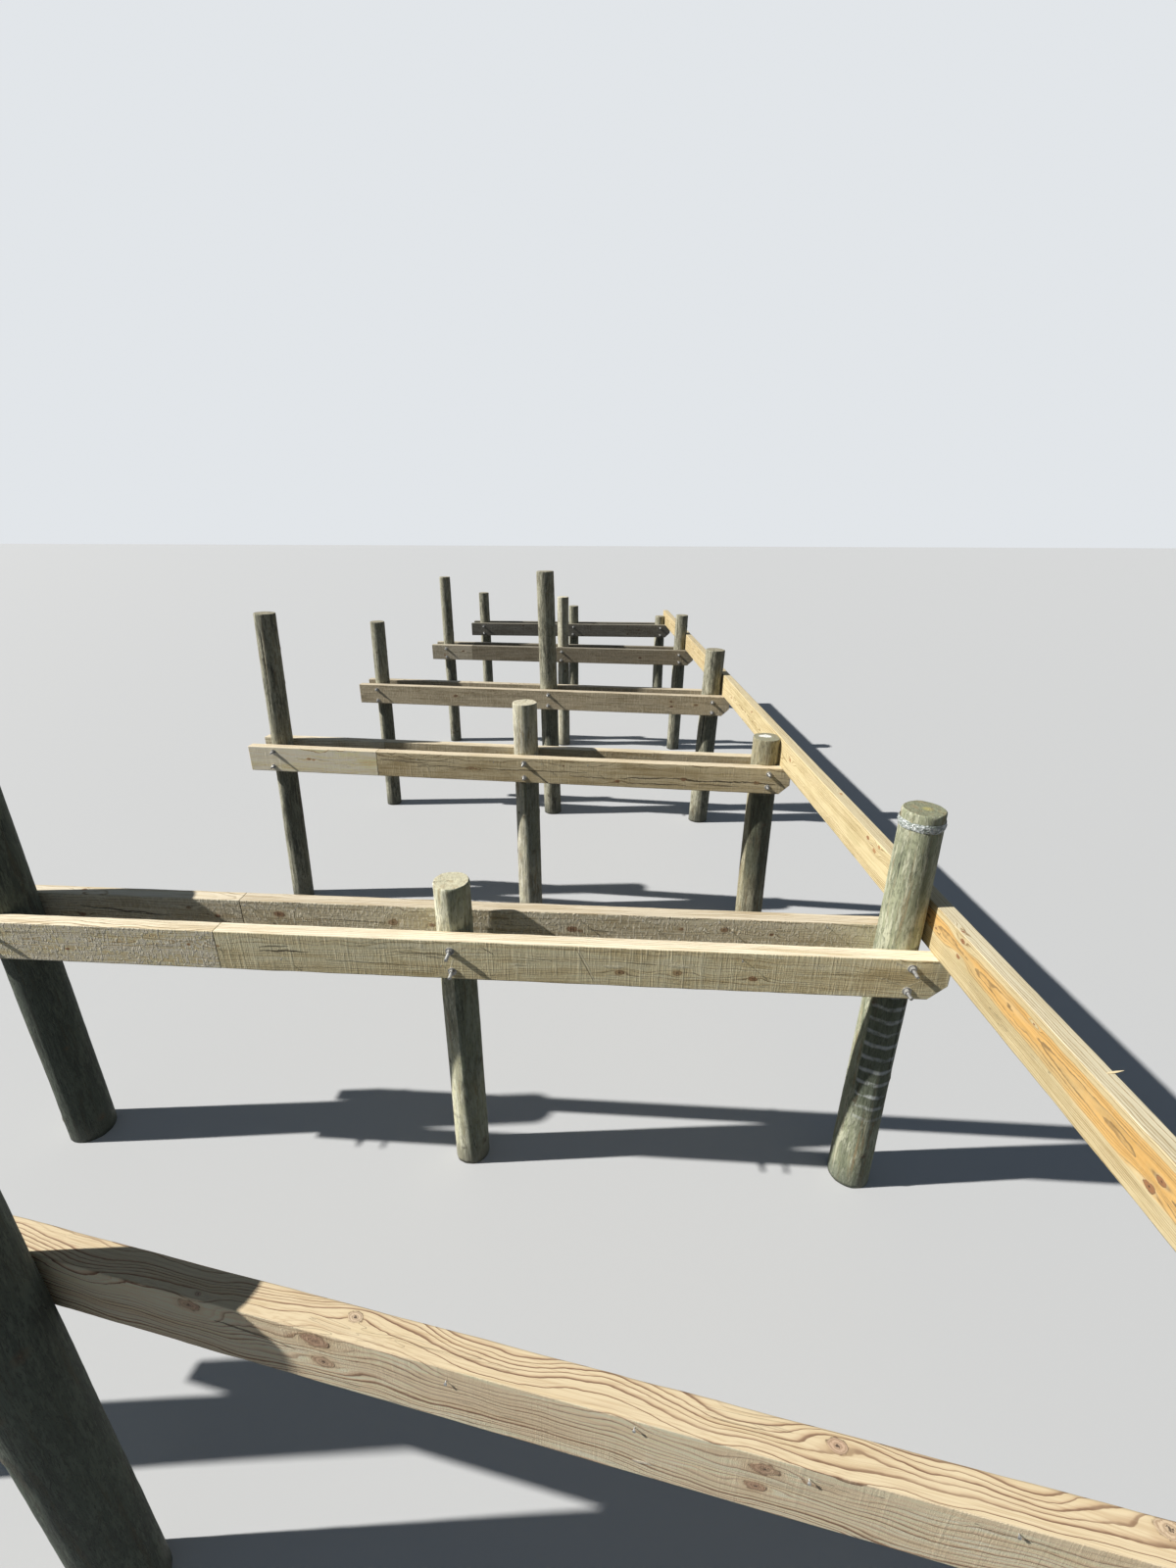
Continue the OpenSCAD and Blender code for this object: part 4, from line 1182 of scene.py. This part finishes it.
# Marks on the near faces: from and to, each as knots are placed, then width, and pale (+) or dark (-)
BOARD_STROKES = {
    "a_cross_beam": (
        (-2.93, -0.075, -2.74, -0.092, 0.006, -0.8), (-2.74, -0.092, -2.68, -0.108, 0.004, -0.6),
        (-1.75, -0.17, -1.7, -0.174, 0.007, 0.6),
    ),
    "b_near_beam": (
        (-1.835, -0.01, -1.745, -0.212, 0.004, 0.65), (-1.846, -0.01, -1.754, -0.212, 0.003, -0.5),
        (-2.473, -0.105, -2.5, -0.18, 0.005, 0.7), (-0.3, -0.006, -0.19, -0.052, 0.004, 0.6),
        (-0.36, -0.105, -0.19, -0.165, 0.004, 0.45), (-0.218, -0.172, -0.115, -0.11, 0.004, 0.4),
        (-1.7, -0.112, -1.6, -0.122, 0.01, 0.5), (-1.38, -0.095, -1.26, -0.102, 0.01, 0.5),
        (-3.5, -0.085, -3.34, -0.072, 0.005, -0.8), (-3.5, -0.108, -3.3, -0.104, 0.006, -0.9),
        (-3.4, -0.098, -3.24, -0.108, 0.004, -0.8), (-3.15, -0.15, -2.72, -0.16, 0.003, -0.6),
        (-2.78, -0.082, -2.45, -0.088, 0.005, -0.75), (-2.62, -0.105, -2.53, -0.108, 0.004, -0.6),
        (-2.33, -0.03, -2.26, -0.075, 0.003, -0.6), (-1.58, -0.088, -1.44, -0.092, 0.003, -0.5),
    ),
    "b_far_bank_end": ((-0.95, -0.075, -0.43, -0.12, 0.006, -0.85),),
    "b_far_beam": (
        (-3.3, -0.1, -2.9, -0.112, 0.003, -0.7), (-1.6, -0.1, -1.1, -0.112, 0.003, 0.5),
        (-1.78, -0.104, -1.62, -0.116, 0.004, -0.5),
    ),
    "c_near_bank_end": ((-0.8, -0.104, -0.46, -0.11, 0.007, -0.35),),
    "c_near_beam": (
        (-1.46, -0.15, -1.02, -0.132, 0.008, -0.85), (-1.02, -0.132, -0.7, -0.15, 0.009, -0.9),
        (-0.74, -0.146, -0.31, -0.14, 0.008, -0.9), (-0.31, -0.14, -0.12, -0.148, 0.007, -0.85),
        (-1.4, -0.196, -0.88, -0.19, 0.007, -0.7), (-0.8, -0.176, -0.42, -0.182, 0.006, -0.6),
        (-3.64, -0.07, -3.2, -0.094, 0.008, -0.65), (-3.5, -0.06, -2.95, -0.072, 0.006, -0.5),
        (-3.3, -0.11, -2.84, -0.118, 0.006, -0.55), (-2.7, -0.122, -1.75, -0.116, 0.006, -0.65),
        (-1.9, -0.15, -1.5, -0.164, 0.006, -0.6),
    ),
    "d_near_beam": ((-1.6, -0.12, -0.75, -0.135, 0.003, -0.55), (-3.2, -0.09, -2.6, -0.1, 0.003, -0.5)),
}

# Nails left standing in the near faces: distance from the outboard end and from the top, and reach
NAILS = {
    "a_cross_beam": (
        (-1.749, -0.028, 0.008), (-2.237, -0.054, 0.007), (-1.343, -0.04, 0.008),
        (-0.91, -0.026, 0.007),
    ),
    "b_near_beam": ((-3.385, -0.146, 0.014), (-2.541, -0.15, 0.012), (-1.015, -0.036, 0.016)),
    "b_near_bank_end": ((-0.418, -0.2, 0.016), (-0.063, -0.214, 0.014), (-0.072, -0.034, 0.012)),
    "b_far_beam": (
        (-3.817, -0.025, 0.02), (-3.697, -0.02, 0.018), (-3.401, -0.023, 0.03), (-1.48, -0.02, 0.022),
        (-1.831, -0.038, 0.014), (-1.07, -0.018, 0.018), (-0.501, -0.021, 0.016),
    ),
    "c_near_beam": (
        (-2.589, -0.045, 0.026), (-2.154, -0.044, 0.022), (-1.743, -0.034, 0.024),
        (-3.3, -0.05, 0.018),
    ),
    "d_near_beam": ((-2.6, -0.05, 0.02), (-1.5, -0.045, 0.018)),
}

# Pith of each board at its outboard end: off the middle and above the top, and drift per metre
PITHS = {
    "a_cross_beam": (0.085, 0.05, 0.006, 0.01),
    "b_near_beam": (0.08, 0.04, -0.004, 0.006),
    "b_far_beam": (0.07, 0.035, 0.004, -0.004),
    "c_near_beam": (0.075, 0.03, 0.003, 0.007),
    "c_near_bank_end": (0.075, 0.045, 0.003, 0.01),
    "rim_near_length": (0.102, -0.07, 0.018, 0.02),
    "rim_middle_length": (0.09, -0.12, -0.006, 0.004),
    "rim_far_length": (0.085, -0.1, 0.006, -0.003),
}


def random_knots(rng, length, depth, thickness, count):
    """Knots at chance places on the two faces and the top of a board."""
    knots = []
    for _ in range(count):
        u = -rng.uniform(0.08, length - 0.08)
        size = rng.uniform(0.008, 0.017)
        face = rng.random()
        if face < 0.8:
            v = 0.0 if face < 0.45 else thickness
            knots.append((u, v, -rng.uniform(0.02, depth - 0.02), size))
        else:
            knots.append((u, rng.uniform(0.01, thickness - 0.01), 0.0, size))
    return knots


def pile_knots(rng, height, count):
    """Knots of a pile in whorls: angle, height and radius."""
    knots = []
    for _ in range(count):
        level = rng.uniform(0.15, height - 0.12)
        start = rng.uniform(0, 6.28)
        for n in range(rng.choice((1, 1, 2, 3))):
            knots.append((start + n * rng.uniform(1.4, 2.4), level + rng.uniform(-0.03, 0.03),
                          rng.uniform(0.009, 0.016)))
    return knots


def pile_cracks(rng, height):
    """Checks of a pile: angle, lowest and highest point, depth and width."""
    cracks = []
    for _ in range(rng.choice((1, 2, 2))):
        low = rng.uniform(0.2, height - 0.9)
        cracks.append((rng.uniform(0, 6.28), low, low + rng.uniform(0.4, 0.9), 0.009, 0.009))
    cracks.append((rng.uniform(0, 6.28), height - rng.uniform(0.25, 0.6), height + 0.12, 0.01, 0.007))
    return cracks


def build_boards():
    boards = [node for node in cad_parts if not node.endswith("pile")]
    for number, node in enumerate(sorted(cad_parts)):
        if node not in boards:
            continue
        look = "rim" if node.startswith("rim") else BEAM_LOOKS[node[0]]
        rng = random.Random(node)
        timber = Timber(node)
        length, thickness, depth = (high - low for low, high in (timber.u, timber.v, timber.w))
        knots = BOARD_KNOTS.get(node)
        if knots is None:
            knots = random_knots(rng, length, depth, thickness, min(7, 2 + round(length * 1.2)))
        pith = PITHS.get(node)
        if pith is None:
            pith = (rng.choice((-1, 1)) * rng.uniform(0.025, 0.065), -rng.uniform(0.06, 0.17),
                    rng.uniform(-0.006, 0.006), rng.uniform(-0.01, 0.01))
        joints = joints_of(timber, [Timber(other) for other in boards if other != node])
        board_piece(node, look, knots, BOARD_STROKES.get(node, ()), pith, joints, number + 1)


def build_piles_and_bolts():
    steel = steel_material()
    rim = Timber("rim_middle_length")
    for index, bent in enumerate(BENTS):
        near = None if bent == "a" else Timber(f"{bent}_near_beam")
        far = Timber("a_cross_beam" if bent == "a" else f"{bent}_far_beam")
        piles = {}
        for place, row in enumerate(ROWS):
            key = f"{bent}_{row}"
            node = key + "_pile"
            rng = random.Random(node)
            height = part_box(node)[1].z
            knots = pile_knots(rng, height, PILE_KNOT_COUNTS.get(key, 5))
            cracks = pile_cracks(rng, height)
            piles[row] = pile_piece(node, PILE_KINDS[bent][place], knots, cracks, (near, far),
                                    rim if row == "outer" else None, index * 3 + place + 1,
                                    PALE_LINE_SPAN if key == "b_outer" else None)
        bent_bolts(bent, piles, near, far, steel)
        if bent == "b":
            build_wrap(piles["outer"])
    build_nails(steel)
    build_splinter(Timber("rim_near_length"))


# Floor, light and camera
def floor_material():
    """Plain pale floor, which throws less light back on the jetty than it shows."""
    s = Shade("pale_floor")
    path = s.node("ShaderNodeLightPath")
    seen = s.math("MAXIMUM", path.outputs["Is Camera Ray"], path.outputs["Is Glossy Ray"])
    grit = s.noise(s.geometry("Position"), 3.0)
    return s.finish(s.mix(seen, FLOOR_BOUNCE, FLOOR_SEEN), 0.9, s.bump(grit, 0.0005, 0.2))


def build_stage():
    mesh = bpy.data.meshes.new("floor")
    half = FLOOR_SIZE / 2
    corners = [(-half, -half, 0), (half, -half, 0), (half, half, 0), (-half, half, 0)]
    mesh.from_pydata(corners, [], [(0, 1, 2, 3)])
    mesh.materials.append(floor_material())
    floor = add_object("floor", mesh)


def build_lights():
    lamp = bpy.data.lights.new("key", "SUN")
    lamp.energy = KEY_STRENGTH
    lamp.angle = math.radians(KEY_ANGLE)
    lamp.color = KEY_COLOR
    key = add_object("key", lamp)
    key.rotation_euler = Vector(KEY_DIRECTION).to_track_quat("-Z", "Y").to_euler()

    world = bpy.data.worlds.new("studio")
    bpy.context.scene.world = world
    world.use_nodes = True
    tree = world.node_tree
    tree.nodes.clear()
    kinds = ("OutputWorld", "MixShader", "Background", "Background", "LightPath", "Math")
    output, mix, light, seen, path, either = (tree.nodes.new("ShaderNode" + kind) for kind in kinds)
    either.operation = "MAXIMUM"
    for background, color, strength in ((light, SKY_COLOR, SKY_STRENGTH), (seen, BACKDROP, 1.0)):
        background.inputs[0].default_value = (*color, 1.0)
        background.inputs[1].default_value = strength
    for source, target in (
        (path.outputs["Is Camera Ray"], either.inputs[0]),
        (path.outputs["Is Glossy Ray"], either.inputs[1]),
        (either.outputs[0], mix.inputs[0]), (light.outputs[0], mix.inputs[1]),
        (seen.outputs[0], mix.inputs[2]), (mix.outputs[0], output.inputs[0]),
    ):
        tree.links.new(source, target)


def build_camera():
    yaw, pitch, roll = (math.radians(a) for a in (YAW, PITCH, ROLL))
    level = Vector((math.cos(yaw), -math.sin(yaw), 0.0))
    ahead = Vector((math.sin(yaw), math.cos(yaw), 0.0))
    forward = math.cos(pitch) * ahead - Vector((0.0, 0.0, math.sin(pitch)))
    plumb = level.cross(forward)
    right = math.cos(roll) * level + math.sin(roll) * plumb
    up = math.cos(roll) * plumb - math.sin(roll) * level
    data = bpy.data.cameras.new("camera")
    data.lens = LENS
    data.sensor_width = SENSOR
    data.clip_end = 500.0
    camera = add_object("camera", data)
    rotation = Matrix((right, up, -forward)).transposed()
    camera.matrix_world = Matrix.Translation(EYE) @ rotation.to_4x4()
    bpy.context.scene.camera = camera


build_boards()
build_piles_and_bolts()
build_stage()
build_lights()
build_camera()
bpy.context.scene.view_settings.view_transform = "Standard"
